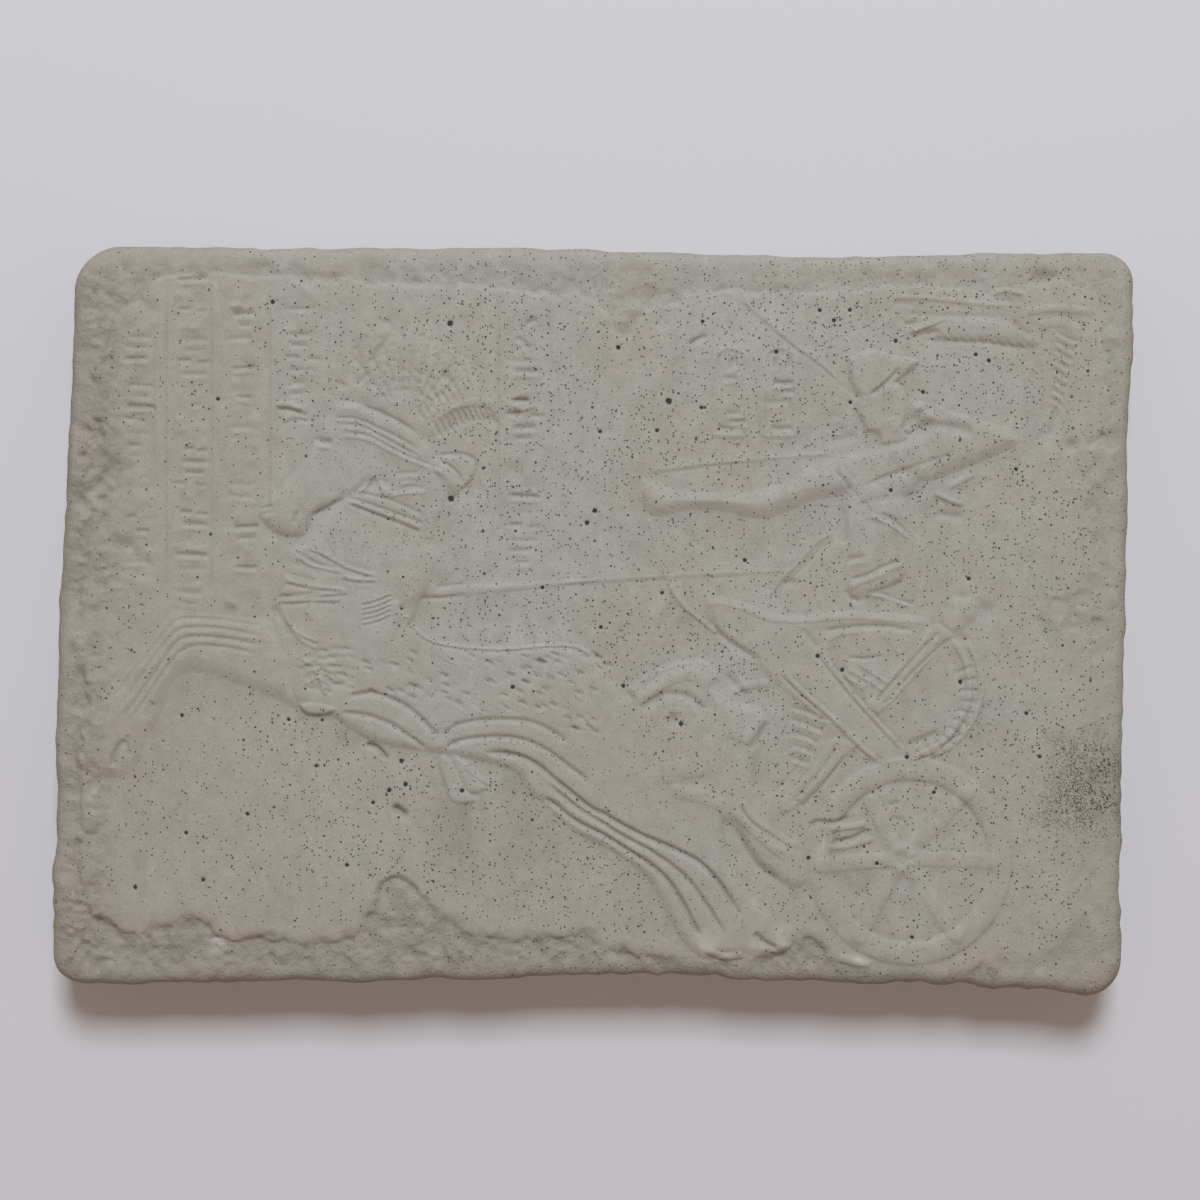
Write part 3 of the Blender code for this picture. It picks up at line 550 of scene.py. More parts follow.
# The broad collar over the horse's breast, cut into the neck's low relief: rows of petals, then blocks
# of short lines and dots.
for path in (
    [(300, 557), (318, 566), (345, 572)],
    [(312, 548), (330, 556), (352, 568), (380, 576)],
    [(290, 580), (312, 586), (350, 590)],
    [(296, 597), (330, 594), (352, 592)],
    [(285, 601), (310, 600), (345, 600)],
    [(345, 577), (362, 580), (380, 580)],
):
    band(path, 4, 0.2)
    groove([(a, b + 3.5) for a, b in path], 3, 0.16)
for number in range(9):
    turn = np.radians(200 - 13 * number)
    groove([
        (352 + 30 * np.cos(turn), 590 - 26 * np.sin(turn)),
        (352 + 68 * np.cos(turn), 590 - 52 * np.sin(turn)),
    ], 3, 0.14)
groove([(308, 559), (325, 566), (342, 570)], 5, 0.25)
groove([(345, 562), (362, 568), (376, 572)], 5, 0.15)
groove([(282, 597), (292, 597), (330, 594)], 4, 0.3)
groove([(277, 606), (288, 622), (294, 636)], 8, 0.4)
band([(290, 618), (302, 632), (322, 641)], 4, 0.25)
band([(312, 610), (316, 620)], 4, 0.25)
band([(296, 628), (306, 640), (322, 648)], 4, 0.2)
for number in range(5):
    band([(364, 603 + number * 5), (380, 599 + number * 5), (394, 593 + number * 5)], 3, 0.14)
    groove([(364, 606 + number * 5), (380, 602 + number * 5), (396, 595 + number * 5)], 3, 0.2)
for number in range(4):
    band([(300 + 3 * number, 658 + 8 * number), (316 + 4 * number, 650 + 8 * number)], 3, 0.12)
choice = np.random.RandomState(8)
for row in range(5):
    for number in range(4):
        x = 326 + 9 * number + choice.uniform(-2, 2)
        y = 648 + 9 * row + choice.uniform(-2, 2)
        groove([(x - 3, y), (x + 3, y + 1)], 4, choice.uniform(0.1, 0.3), ends=0)
band([(306, 657), (318, 668), (326, 682), (330, 694)], 5, 0.3)
groove([(303, 664), (312, 676), (320, 690)], 6, 0.2)

# The chariot's cab, cast in one with the ground: a light open frame with a rounded rail, raised half a
# millimetre, a quiver and a bow case that cross its side, and a hatched panel in front of the wheel.
CAB = (
    (704, 604), (718, 600), (745, 606), (765, 615), (800, 617), (850, 613), (900, 618), (925, 619),
    (935, 640), (948, 660), (960, 690), (955, 725), (935, 748), (905, 760), (870, 762), (840, 740),
    (800, 705), (770, 680), (745, 655), (718, 632),
)
relief += raised((CAB, 0.5, 8))
band(
    [
        (705, 603), (720, 601), (745, 608), (768, 617), (800, 619), (850, 615), (900, 619),
        (925, 620),
    ],
    9, 0.36,
)
groove([(818, 631), (845, 627), (880, 626), (915, 631)], 5, 0.32)
groove([(703, 616), (716, 632), (735, 646), (760, 661)], 6, 0.34)
band([(668, 585), (682, 605), (700, 620), (716, 633)], 5, 0.35)
# pole running down to the wheel
for shift, depth in ((0, 0.18), (10, 0.15)):
    groove([
        (776 + shift, 672), (798 + shift, 694), (823 + shift, 716), (848 + shift, 742),
        (868 + shift, 758),
    ], 3.2, depth, ends=0.05)
band([(781, 672), (804, 694), (829, 715), (854, 740), (874, 758)], 6, 0.2, ends=0.05)
for shift, depth in ((0, 0.2), (9, 0.2)):
    groove(
        [(814 + shift, 655), (842 + shift, 690), (872 + shift, 724), (896 + shift, 750)],
        3.2, depth, ends=0.05,
    )
band([(819, 655), (847, 690), (877, 723), (901, 748)], 5, 0.15, ends=0.05)
band([(838, 672), (848, 680), (862, 690)], 4, 0.2)
# quiver crossing the cab
QUIVER = ((866, 698), (925, 628), (932, 622), (948, 634), (940, 645), (882, 708), (872, 712))
relief += raised((QUIVER, 0.45, 4))
groove([(872, 700), (905, 663), (934, 632)], 3.5, 0.3, ends=0.05)
groove([(879, 704), (912, 668), (944, 638)], 3.5, 0.3, ends=0.05)
groove([(885, 692), (895, 678)], 6, 0.25, ends=0)
for path in (
    [(844, 668), (862, 678), (880, 690)],
    [(856, 664), (872, 674), (884, 682)],
    [(846, 678), (862, 686)],
):
    band(path, 3.5, 0.22)
groove([(845, 657), (862, 658), (880, 655)], 4, 0.3)
groove([(800, 628), (805, 636), (816, 648)], 6, 0.3)
band([(824, 640), (838, 634), (858, 632)], 4, 0.15)
band([(880, 634), (890, 646), (896, 654)], 4, 0.2)
# knob and tuft behind the cab
KNOB = (
    (936, 612), (944, 600), (958, 596), (970, 600), (975, 612), (966, 624), (950, 632), (938, 626),
)
relief += raised((KNOB, 0.5, 7))
for spot, size, depth in (
    ((981, 610), 9, 0.9), ((944, 608), 6, 0.5), ((957, 597), 7, 0.4), ((963, 622), 6, 0.4),
    ((956, 638), 6, 0.45),
):
    hollow(spot, size, depth)
# hatched panel in front of the wheel
for number in range(5):
    y = 705 + number * 12.5
    groove([(788, y), (804, y + 5), (826 - 5 * number, y + 14 - 1.5 * number)], 3.6, 0.22)
    band([(788, y + 5), (804, y + 10), (824 - 5 * number, y + 18 - 1.5 * number)], 4, 0.12)
# bow case hanging forward
BOW_CASE = (
    (832, 735), (850, 742), (848, 752), (800, 800), (782, 812), (776, 806), (782, 790), (815, 750),
)
relief += raised((BOW_CASE, 0.45, 5))
for shift, depth in ((-9, 0.16), (0, 0.2), (9, 0.2), (19, 0.3)):
    groove([
        (824 + shift, 743 + shift / 2), (804 + shift, 770 + shift / 2),
        (780 + shift, 796 + shift / 2),
    ], 3.4, depth, ends=0.06)
# ribbed rail at the back of the cab
for shift, height in ((0, 0.4), (12, 0.3)):
    band([
        (950 + shift, 640), (962 + shift, 665), (964 + shift, 695), (954 + shift, 722),
        (934 + shift, 744), (906 + shift, 757),
    ], 7, height, ends=0.05)
for number in range(12):
    turn = np.radians(-20 + number * 9)
    x = 890 + 72 * np.cos(turn)
    y = 692 + 66 * np.sin(turn)
    groove(
        [
            (x - 5 * np.cos(turn), y - 5 * np.sin(turn)),
            (x + 9 * np.cos(turn), y + 9 * np.sin(turn)),
        ],
        3.5, 0.25, ends=0,
    )
groove([(902, 744), (918, 738), (936, 730)], 8, 0.45)

# The wheel: six spokes and a rounded rim, raised half a millimetre and worn soft. The spokes cross a
# little left of its middle.
WHEEL = (906, 858)
WHEEL_RADIUS = 101
RIM = 23
HUB = (898, 855)
SPOKE = 16
turn = np.linspace(0, 2 * np.pi, 73)
circle = np.column_stack([np.cos(turn), 1.02 * np.sin(turn)])
ground = relief.copy()
band(WHEEL + (WHEEL_RADIUS - RIM / 2) * circle, RIM, 0.68, ends=0, fullness=1.9)
for radius, depth in ((WHEEL_RADIUS + 3, 0.09), (WHEEL_RADIUS - RIM - 2, 0.13)):
    groove(WHEEL + radius * circle, 8.5, depth, ends=0)
for foot in ((818, 862), (868, 800), (963, 789), (987, 858), (952, 932), (856, 932)):
    away = np.subtract(foot, HUB)
    away = away / np.linalg.norm(away)
    band([HUB + 13 * away, foot], SPOKE, 0.5, ends=0, fullness=1.9)
relief += raised((HUB + 16 * circle[:-1:6], 0.42, 8))
relief[:] = ground + (relief - ground) * (0.88 + 0.3 * cloud(42, 47))
# odd marks between the spokes
groove([(808, 824), (815, 819), (830, 820), (847, 814)], 5, 0.6)
groove([(830, 839), (848, 836), (866, 827)], 5, 0.6)
band([(826, 826), (845, 824), (862, 821)], 7, 0.35)
band([(824, 845), (845, 843), (872, 835)], 6, 0.25)
groove([(884, 803), (896, 800)], 5, 0.25)
groove([(886, 815), (902, 818)], 5, 0.25)
for spot in ((915, 843), (933, 815), (945, 832), (862, 930), (912, 880), (893, 878)):
    hollow(spot, 6, 0.35)
# ground swelling under the rim
band([(835, 953), (850, 957), (868, 960)], 9, 0.6)
band([(915, 972), (930, 974), (945, 973)], 8, 0.4)

# The archer in the cab, in a tall crown and a pleated kilt, with a plain face of the maker's own. It is
# cast in one with the ground, and the two arms are the highest part of the picture.
FORWARD_ARM = (
    (642, 480), (655, 482), (672, 489), (700, 493), (750, 491), (782, 483), (806, 468), (832, 458),
    (856, 456), (856, 490), (832, 498), (808, 503), (788, 512), (768, 519), (748, 519), (722, 513),
    (700, 511), (678, 513), (660, 518), (645, 512), (637, 497),
)
TORSO_AND_KILT = (
    (828, 460), (850, 455), (880, 447), (905, 441), (945, 442), (965, 448), (940, 470), (915, 485),
    (905, 505), (910, 530), (908, 560), (902, 580), (880, 592), (858, 600), (846, 592), (840, 570),
    (838, 530), (842, 500),
)
# drawing arm, folded back
DRAWING_ARM = (
    (903, 404), (918, 403), (945, 412), (975, 421), (1000, 429), (1013, 438), (1010, 449),
    (985, 460), (955, 472), (925, 483), (895, 478), (880, 460), (884, 444), (905, 437), (918, 425),
    (905, 418),
)
HEAD = (
    (856, 398), (863, 390), (876, 384), (893, 385), (903, 397), (905, 415), (900, 430), (906, 444),
    (880, 448), (874, 436), (862, 434), (858, 424), (853, 414),
)
CROWN = (
    (846, 364), (856, 355), (872, 352), (890, 358), (914, 362), (912, 370), (900, 380), (884, 392),
    (868, 402), (856, 400), (846, 384),
)
relief += raised(
    (FORWARD_ARM, 1.4, 17), (TORSO_AND_KILT, 0.85, 12), (DRAWING_ARM, 1.4, 16), (HEAD, 0.9, 6),
    (CROWN, 1.05, 7),
)
groove([(866, 398), (880, 388), (897, 371)], 4, 0.55)
groove([(888, 396), (885, 410), (888, 422)], 13, 0.35)
# gap of the bent arm
groove([(912, 434), (930, 428), (950, 430), (968, 433)], 12, 1.15, ends=0.1)
groove([(912, 418), (926, 412), (940, 420)], 8, 0.45)
band([(902, 434), (906, 431)], 7, 0.3)
groove([(828, 443), (840, 441), (854, 437)], 9, 0.55)
groove([(828, 418), (836, 419)], 9, 0.3, ends=0)
groove([(826, 428), (838, 432)], 9, 0.25, ends=0)
# line of the string hand and arrow
groove([(660, 475), (678, 473), (705, 469), (745, 465)], 3.6, 0.12)
band([(640, 474), (700, 466), (745, 462), (790, 458), (830, 455)], 4, 0.12)
# sashes over the shoulder
for path in (
    [(836, 464), (845, 474), (852, 482)],
    [(845, 460), (853, 468)],
    [(830, 472), (840, 482), (848, 494)],
    [(838, 490), (848, 498)],
):
    groove(path, 3.4, 0.14)
for number in range(9):
    x = 872 + number * 8
    groove(
        [(x - 12, 488 - number * 1.6), (x, 482 - number * 2.4), (x + 14, 475 - number * 2.8)],
        3, 0.2,
    )
for number in range(8):
    groove([(856 + 7 * number, 508 - number), (872 + 7 * number, 498 - number)], 3, 0.16)
for number in range(6):
    groove([(826 + 6 * number, 468 + 7 * number), (838 + 6 * number, 478 + 7 * number)], 3, 0.12)
    groove([(872 + 6 * number, 512 + 2 * number), (884 + 6 * number, 526 + 2 * number)], 3, 0.14)
# kilt folds
band([(866, 517), (885, 525), (905, 540)], 4, 0.25)
groove([(878, 514), (892, 524), (907, 538)], 4, 0.3)
groove([(898, 560), (880, 567), (862, 576), (846, 580)], 4, 0.35)
groove([(902, 574), (895, 583), (880, 589), (862, 594)], 4, 0.2)
band([(846, 588), (860, 582), (880, 574), (900, 564)], 5, 0.15)
groove([(842, 590), (848, 598), (856, 602)], 5, 0.35)
band([(868, 596), (884, 598), (905, 606)], 4, 0.25)
groove([(876, 592), (892, 600), (912, 604)], 3.5, 0.3)
groove([(847, 560), (857, 558)], 6, 0.35, ends=0)
band([(848, 565), (858, 563)], 4, 0.15)
groove([(838, 506), (842, 530), (840, 545)], 7, 0.3)
# small marks behind the archer
band([(930, 494), (942, 500), (958, 506)], 6, 0.4)
groove([(932, 514), (945, 517), (958, 518)], 8, 0.4)
band([(944, 489), (958, 482), (970, 476)], 6, 0.25)

# The bow and its string, cast in thin raised lines from above the crown down to the cab, each with a
# fine groove beside it.
band([(738, 302), (762, 322), (790, 346), (820, 368), (838, 386)], 4, 0.13)
groove([(748, 316), (764, 329), (791, 351), (819, 371), (836, 386), (866, 408)], 3.4, 0.1)
groove([(712, 328), (695, 344), (676, 366), (662, 388), (652, 410), (645, 440)], 4, 0.1)
groove([(690, 346), (703, 340)], 5, 0.5, ends=0)
band([(648, 520), (655, 545), (662, 568), (672, 590)], 4, 0.18)
band([(829, 533), (812, 545), (796, 563), (780, 578), (764, 600)], 4, 0.2)
groove([(834, 540), (817, 550), (802, 567), (786, 582), (772, 600)], 3.4, 0.14)
groove([(783, 583), (792, 583)], 7, 0.35, ends=0)

# The outspread wing above the archer: long feathers in low relief that end in cut tips, with a hatched
# edge that hangs down at the right.
band([(888, 301), (920, 302), (960, 306), (1000, 310)], 5, 0.2)
band([(1020, 316), (1050, 312), (1085, 316)], 8, 0.25)
band([(985, 297), (1002, 294), (1018, 298)], 6, 0.35)
groove([(988, 302), (998, 304), (1006, 303)], 6, 0.4)
groove([(888, 307), (910, 308)], 5, 0.2)
groove([(900, 318), (950, 319), (990, 320)], 5, 0.15)
LONG_FEATHERS = (
    (905, 330), (930, 322), (980, 322), (1015, 326), (1035, 342), (1028, 352), (1005, 349),
    (980, 346), (940, 345), (915, 342), (902, 338),
)
relief += raised((LONG_FEATHERS, 0.55, 10))
groove([(922, 343), (955, 345), (980, 346), (1005, 350), (1028, 353)], 5, 0.25)
for number in range(14):
    x = 900 + number * 9.2
    y = 330 + 12 * np.sin(min(1, number / 6) * 1.6) + number * 0.7
    groove([(x - 3, y - 9), (x + 2, y - 3), (x + 8, y + 1)], 3.4, 0.16, ends=0.1)
    hollow((x + 5, y + 5), 3.6, 0.2)
groove([(902, 328), (912, 326)], 5, 0.3, ends=0)
groove([(912, 338), (925, 337), (934, 334)], 6, 0.35)
band([(906, 336), (925, 329), (942, 322)], 4, 0.3)
groove([(1008, 326), (1016, 333), (1026, 339)], 6, 0.4)
band([(1034, 330), (1048, 326), (1066, 330), (1074, 344)], 10, 0.3)
for number in range(8):
    y = 334 + number * 9.4
    groove(
        [(1050 - 0.8 * number, y), (1061 - number, y + 7), (1072 - 2.4 * number, y + 11)],
        3.4, 0.18,
    )
    band(
        [(1050 - 0.8 * number, y + 4.6), (1060 - number, y + 11), (1070 - 2.4 * number, y + 15)],
        4, 0.12,
    )
band([(1036, 360), (1040, 385), (1042, 410), (1034, 440)], 9, 0.2)
groove([(1052, 408), (1048, 425), (1044, 440)], 6, 0.35)
groove([(1038, 405), (1037, 430), (1034, 442)], 5, 0.2)
hollow((1066, 447), 6, 1.0)
groove([(1080, 448), (1092, 442), (1098, 434)], 8, 0.4)
hollow((1040, 281), 8, 0.9)

# The inscription: columns of short shallow strokes between thin rules, and two small name frames
# beside the bow, all cut less than a millimetre deep. The strokes are plain and aren't letters.
SIGN_COLUMNS = ((145, 305, 592), (197, 283, 602), (247, 300, 608), (304, 294, 392), (525, 350, 566))
RULES = (
    (175, 285, 600, 0.16), (220, 285, 600, 0.16), (277, 285, 520, 0.16), (335, 285, 400, 0.1),
    (503, 290, 505, 0.2), (555, 300, 500, 0.12), (118, 420, 520, 0.12), (163, 330, 480, 0.12),
    (760, 405, 440, 0.15),
)
for x, top, bottom, depth in RULES:
    band([(x, top), (x, bottom)], 5, depth, ends=0.1)
    groove([(x - 5, top), (x - 5, bottom)], 4, depth * 0.6, ends=0.1)
choice = np.random.RandomState(4)
for column, top, bottom in SIGN_COLUMNS:
    y = top
    before = 0
    while y < bottom:
        x = column + choice.uniform(-4, 4)
        half = choice.uniform(7, 17)
        tilt = choice.uniform(-1.2, 1.2)
        depth = choice.uniform(0.15, 0.5)
        kind = (before + choice.randint(1, 7)) % 7
        before = kind
        stroke = [(x - half, y - tilt), (x, y), (x + half, y + tilt)]
        if kind in (0, 1, 4):  # a stroke, or two
            groove(stroke, choice.uniform(3.2, 6), depth, ends=choice.uniform(0.1, 0.5))
            band([(a, b + 5) for a, b in stroke], 5, 0.35 * depth, ends=0.4)
            y += 11
        if kind == 1:
            groove([(a * 0.8 + x * 0.2, b + 11) for a, b in stroke], 3.6, 0.6 * depth, ends=0.3)
            y += 9
        if kind == 2:  # two short dashes, far apart
            groove([(x - half, y), (x - half * 0.4, y + tilt)], 4.5, depth, ends=0)
            groove([(x + half * 0.4, y + 2), (x + half, y + 2 + tilt)], 4.5, 0.7 * depth, ends=0)
            y += 12
        if kind in (3, 5):  # worn lumps beside dips
            for _ in range(6):
                spot = (x + choice.uniform(-14, 14), y + choice.uniform(0, 13))
                hollow(spot, choice.uniform(3, 6.5), choice.uniform(-0.4, 0.4))
            y += 15
        if kind == 6:  # one long faint stroke
            long_stroke = [(column - 18, y + 2), (column, y + 3), (column + 18, y + 2)]
            groove(long_stroke, 5, 0.5 * depth, ends=0.4)
            y += 12
        y += choice.uniform(0, 3)
# two small name frames beside the bow
for x in (728, 777):
    frame_line = [
        (x - 15, 366), (x - 12, 356), (x, 351), (x + 13, 356), (x + 16, 366), (x + 16, 430),
        (x + 10, 438), (x - 10, 438), (x - 16, 430), (x - 15, 366),
    ]
    band(frame_line, 4.5, 0.17, ends=0)
for x, y, half, depth in (
    (728, 381, 7, 0.3), (732, 416, 8, 0.25), (736, 424, 9, 0.4), (728, 431, 12, 0.35),
    (780, 386, 10, 0.5), (786, 394, 6, 0.35), (774, 405, 12, 0.2), (779, 431, 11, 0.35),
):
    groove([(x - half, y - 1), (x, y), (x + half, y - 1)], 5, depth)
    band([(x - half, y + 5), (x, y + 6), (x + half, y + 5)], 4, 0.35 * depth)
for x, y in ((773, 366), (787, 366), (729, 368), (734, 365)):
    groove([(x, y - 3), (x, y + 3)], 5, 0.35, ends=0)
groove([(516, 341), (526, 346), (532, 360)], 5, 0.3)
groove([(530, 326), (534, 324)], 6, 0.5, ends=0)
band([(516, 346), (524, 352), (528, 362)], 4, 0.2)
groove([(512, 406), (520, 402), (530, 403)], 4, 0.25)
band([(514, 408), (524, 412), (536, 408)], 5, 0.3)

# Air bubbles that the mould left open in the face, up to a couple of millimetres wide, their dark
# insides painted shade, and what has settled on it: a dark pitted stain at the right, white bloom along
# the foot, warmer edges. The cut lines get a painted shade, darker than the ground, where a blurred
# copy of the relief lies above them.
PITS = (
    (452, 327, 4), (618, 351, 3), (668, 404, 4), (701, 325, 2.5), (753, 273, 3), (774, 355, 2.5),
    (453, 500, 4), (595, 512, 3), (587, 524, 3), (743, 561, 2.5), (601, 627, 2.5), (600, 434, 2.5),
    (700, 410, 2.5), (656, 433, 2.5), (661, 593, 2.5), (223, 402, 2.5), (187, 714, 2.5),
    (191, 830, 2.5), (292, 718, 2.5), (320, 764, 2.5), (404, 759, 3), (408, 782, 3), (392, 788, 3),
    (376, 800, 2.5), (208, 876, 2.5), (141, 884, 2.5), (252, 811, 2.5), (350, 862, 2.5),
    (680, 722, 3), (623, 685, 2.5), (514, 686, 2.5), (464, 788, 3), (815, 655, 3), (839, 669, 2.5),
    (956, 681, 3), (1021, 712, 2.5), (1034, 755, 2.5), (930, 790, 2.5), (873, 860, 2.5),
    (908, 933, 2.5), (806, 855, 2.5), (903, 755, 2.5), (892, 344, 2.5), (817, 314, 2.5),
    (831, 324, 2.5), (847, 314, 2.5), (847, 405, 2.5), (919, 395, 2.5), (984, 364, 2.5),
    (971, 358, 2.5), (1011, 471, 2.5), (887, 492, 2.5), (964, 579, 2.5), (277, 306, 3),
    (543, 588, 2.5),
)
BLOOM = (
    (220, 940, 9), (700, 938, 10), (752, 948, 9), (775, 932, 8), (822, 843, 8), (855, 957, 7),
    (101, 790, 7),
)
SHADE_BLUR_ROUNDS = 40


def soften(times):
    """Blurs the relief, rounding its edges."""
    for _ in range(times):
        for axis in (0, 1):
            sides = np.roll(relief, 1, axis) + np.roll(relief, -1, axis)
            relief[:] = 0.5 * relief + 0.25 * sides


# a blurred copy of the relief marks the cut lines for a painted shade; the relief itself stays sharp
sharp_relief = relief.copy()
soften(SHADE_BLUR_ROUNDS)
groove_shade = relief - sharp_relief
relief[:] = sharp_relief
pits = np.zeros_like(relief)
bloom = np.zeros_like(relief)
grit = cloud(5, 41)
# each listed pit is dimpled, and marked for a painted shade inside it
for x, y, radius in PITS:
    hollow((x, y), 0.8 * radius, 0.5)
    place, gap, _ = measure(np.array([(x, y), (x, y)], float), 2 * radius + 3)
    pits[place] = np.maximum(pits[place], np.clip(1 - gap / (2 * radius), 0, 1))
for x, y, radius in BLOOM:
    place, gap, _ = measure(np.array([(x, y), (x, y)], float), 3 * radius)
    bloom[place] += np.exp(-((gap / radius) ** 2)) * np.clip(0.5 + grit[place], 0, 1)
x_places = across[None, :]
y_places = down[:, None]
stain = np.exp(-(((x_places - 1090) / 30) ** 2) - ((y_places - 785) / 42) ** 2)
stain = np.clip(stain * (1 + 0.5 * cloud(12, 42)), 0, 1)
warmth = 0.32 + 0.68 * np.clip((330 - x_places) / 230, 0, 1)
warmth = warmth + 0.16 * np.clip((y_places - 620) / 200, 0, 1)
warmth = warmth + 0.3 * np.clip((y_places - 880) / 50, 0, 1)
warmth = warmth + 0.35 * np.clip((x_places - 960) / 120, 0, 1)
warmth = np.clip(warmth + 0.25 * cloud(70, 43) + 0.12 * cloud(24, 44), 0, 1)
# open pores are few at the left and along the foot, many in the middle and in a few clusters
PORE_CLUSTERS = (
    (490, 350, 75, 0.55), (850, 300, 110, 0.5), (640, 830, 110, 0.3), (700, 700, 60, 0.25),
    (1060, 290, 40, 0.3), (560, 690, 60, 0.25),
)
pores = 0.25 + 0.5 * np.clip((x_places - 240) / 170, 0, 1)
pores = pores - 0.45 * np.clip((y_places - 890) / 50, 0, 1)
pores = pores + 0.12 * np.clip((y_places - 640) / 80, 0, 1) * np.clip((420 - x_places) / 80, 0, 1)
for x, y, radius, more in PORE_CLUSTERS:
    away_x = ((x_places - x) / radius) ** 2
    away_y = ((y_places - y) / radius) ** 2
    pores = pores + more * np.exp(-away_x - away_y)
pores = np.clip(pores + 0.2 * cloud(45, 45), 0.05, 1.6)
# the broken border is darker and coarser, most along the foot
coarse = broken * np.clip((y_places - 860) / 60, 0.25, 1) * (1 - 0.5 * calm)
coarse = np.clip(np.maximum(coarse, 0.7 * crumbled) * (1 + 0.6 * cloud(9, 46)), 0, 1)

# The block itself, one casting of fine concrete 300 x 208 mm and 19 mm thick: the carved face, its
# rounded edge, slightly flared sides, and a rough edge where the open back of the mould was struck off.
# Its flat back is where it is fixed to the wall. Sizes are in metres, corners and waves on the sheet.
PLAQUE_WIDTH = 0.300
PLAQUE_HEIGHT = 0.208
SLAB_THICKNESS = 0.0175
EDGE_ROUND = 0.0050
SIDE_DRAFT = 0.0008
BACK_FLASH = 0.0004
RELIEF_HEIGHT = 0.0010
# each corner on the sheet with its radius, and how far each side strays outwards along its length
CORNERS = (((76, 246), 48), ((1135, 252), 36), ((1121, 996), 42), ((50, 985), 42))
SIDE_WAVES = (
    (0, 0, 0, 0, 2, -1, -3, -6, -3, -1, 0),
    (0, 0, -3, -2, -2, -3, -4, -3, -2, -3, 0),
    (0, -6, -9, -10, -12, -16, -15, -11, -8, -5, -3, -3, 0),
    (0, 1, -2, 3, 3, 4, 3, 2, 1, -1, 0),
)
FACE_CELL = 0.0003
FACETS = 198000
CORNER_STEPS = 16
SIDE_STEPS = 60
SIDE_RINGS = (0.22, 0.48, 0.74, 0.93, 1.0)
BACK_ZONE = 0.0003
FACE_ZONE = 0.006
SHARP_ANGLE = 55


def place_on_plaque(points):
    """Sheet places as x and z on the plaque, in metres."""
    x = (points[:, 0] - (SHEET_LEFT + SHEET_RIGHT) / 2) / (SHEET_RIGHT - SHEET_LEFT) * PLAQUE_WIDTH
    z = ((SHEET_TOP + SHEET_BOTTOM) / 2 - points[:, 1]) / (SHEET_BOTTOM - SHEET_TOP) * PLAQUE_HEIGHT
    return np.column_stack([x, z])


def place_on_sheet(points):
    """The other way: x and z on the plaque as columns and rows of the sheet."""
    x = points[:, 0] / PLAQUE_WIDTH * (SHEET_RIGHT - SHEET_LEFT) + (SHEET_LEFT + SHEET_RIGHT) / 2
    y = (SHEET_TOP + SHEET_BOTTOM) / 2 - points[:, 1] / PLAQUE_HEIGHT * (SHEET_BOTTOM - SHEET_TOP)
    column = np.clip((x - across[0]) / SHEET_STEP, 0, across.size - 1.001)
    row = np.clip((y - down[0]) / SHEET_STEP, 0, down.size - 1.001)
    return column, row


def read_sheet(points):
    """The relief's height in metres at places on the plaque."""
    column, row = place_on_sheet(points)
    j = column.astype(int)
    i = row.astype(int)
    u = column - j
    v = row - i
    upper = relief[i, j] * (1 - u) + relief[i, j + 1] * u
    lower = relief[i + 1, j] * (1 - u) + relief[i + 1, j + 1] * u
    return (upper * (1 - v) + lower * v) * RELIEF_HEIGHT


def slab_outline():
    """Four smooth sides of the slab's outline, each from the middle of one corner to the next."""
    arcs = []
    runs = []
    for number in range(4):
        before, here, after = (np.array(CORNERS[(number + k) % 4][0], float) for k in (-1, 0, 1))
        radius = CORNERS[number][1]
        next_radius = CORNERS[(number + 1) % 4][1]
        came = (here - before) / np.linalg.norm(here - before)
        goes = (after - here) / np.linalg.norm(after - here)
        turn = np.linspace(0, np.pi / 2, CORNER_STEPS + 1)[:, None]
        arcs.append(here - came * radius * (1 - np.sin(turn)) + goes * radius * (1 - np.cos(turn)))
        share = np.linspace(0, 1, SIDE_STEPS)[1:-1]
        wave = through(list(enumerate(SIDE_WAVES[number])))
        stray = np.interp(share, wave[:, 0] / wave[-1, 0], wave[:, 1])
        outward = np.array((goes[1], -goes[0]))
        start = here + goes * radius
        end = after - goes * next_radius
        runs.append(start + (end - start) * share[:, None] + outward * stray[:, None])
    middle = CORNER_STEPS // 2
    sides = []
    for number in range(4):
        following = arcs[(number + 1) % 4]
        side = np.vstack([arcs[number][middle:], runs[number], following[: middle + 1]])
        sides.append(place_on_plaque(side))
    return sides


def spaced(line, count):
    """A line cut into equal steps of its length."""
    steps = np.linalg.norm(np.diff(line, axis=0), axis=1)
    length = np.concatenate([[0], np.cumsum(steps)])
    wanted = np.linspace(0, length[-1], count + 1)
    x = np.interp(wanted, length, line[:, 0])
    z = np.interp(wanted, length, line[:, 1])
    return np.column_stack([x, z])


def ring_normals(ring):
    """Outward directions round a closed ring that runs clockwise as seen from the front."""
    along = np.roll(ring, -1, axis=0) - np.roll(ring, 1, axis=0)
    along /= np.linalg.norm(along, axis=1, keepdims=True)
    return np.column_stack([-along[:, 1], along[:, 0]])


def inset_sides(sides, distance):
    """The outline moved inwards, still as four sides."""
    ring = np.vstack([side[:-1] for side in sides])
    ring = ring - ring_normals(ring) * distance
    starts = np.cumsum([0] + [len(side) - 1 for side in sides])
    closed = np.vstack([ring, ring[:1]])
    return [closed[starts[k] : starts[k + 1] + 1] for k in range(4)]


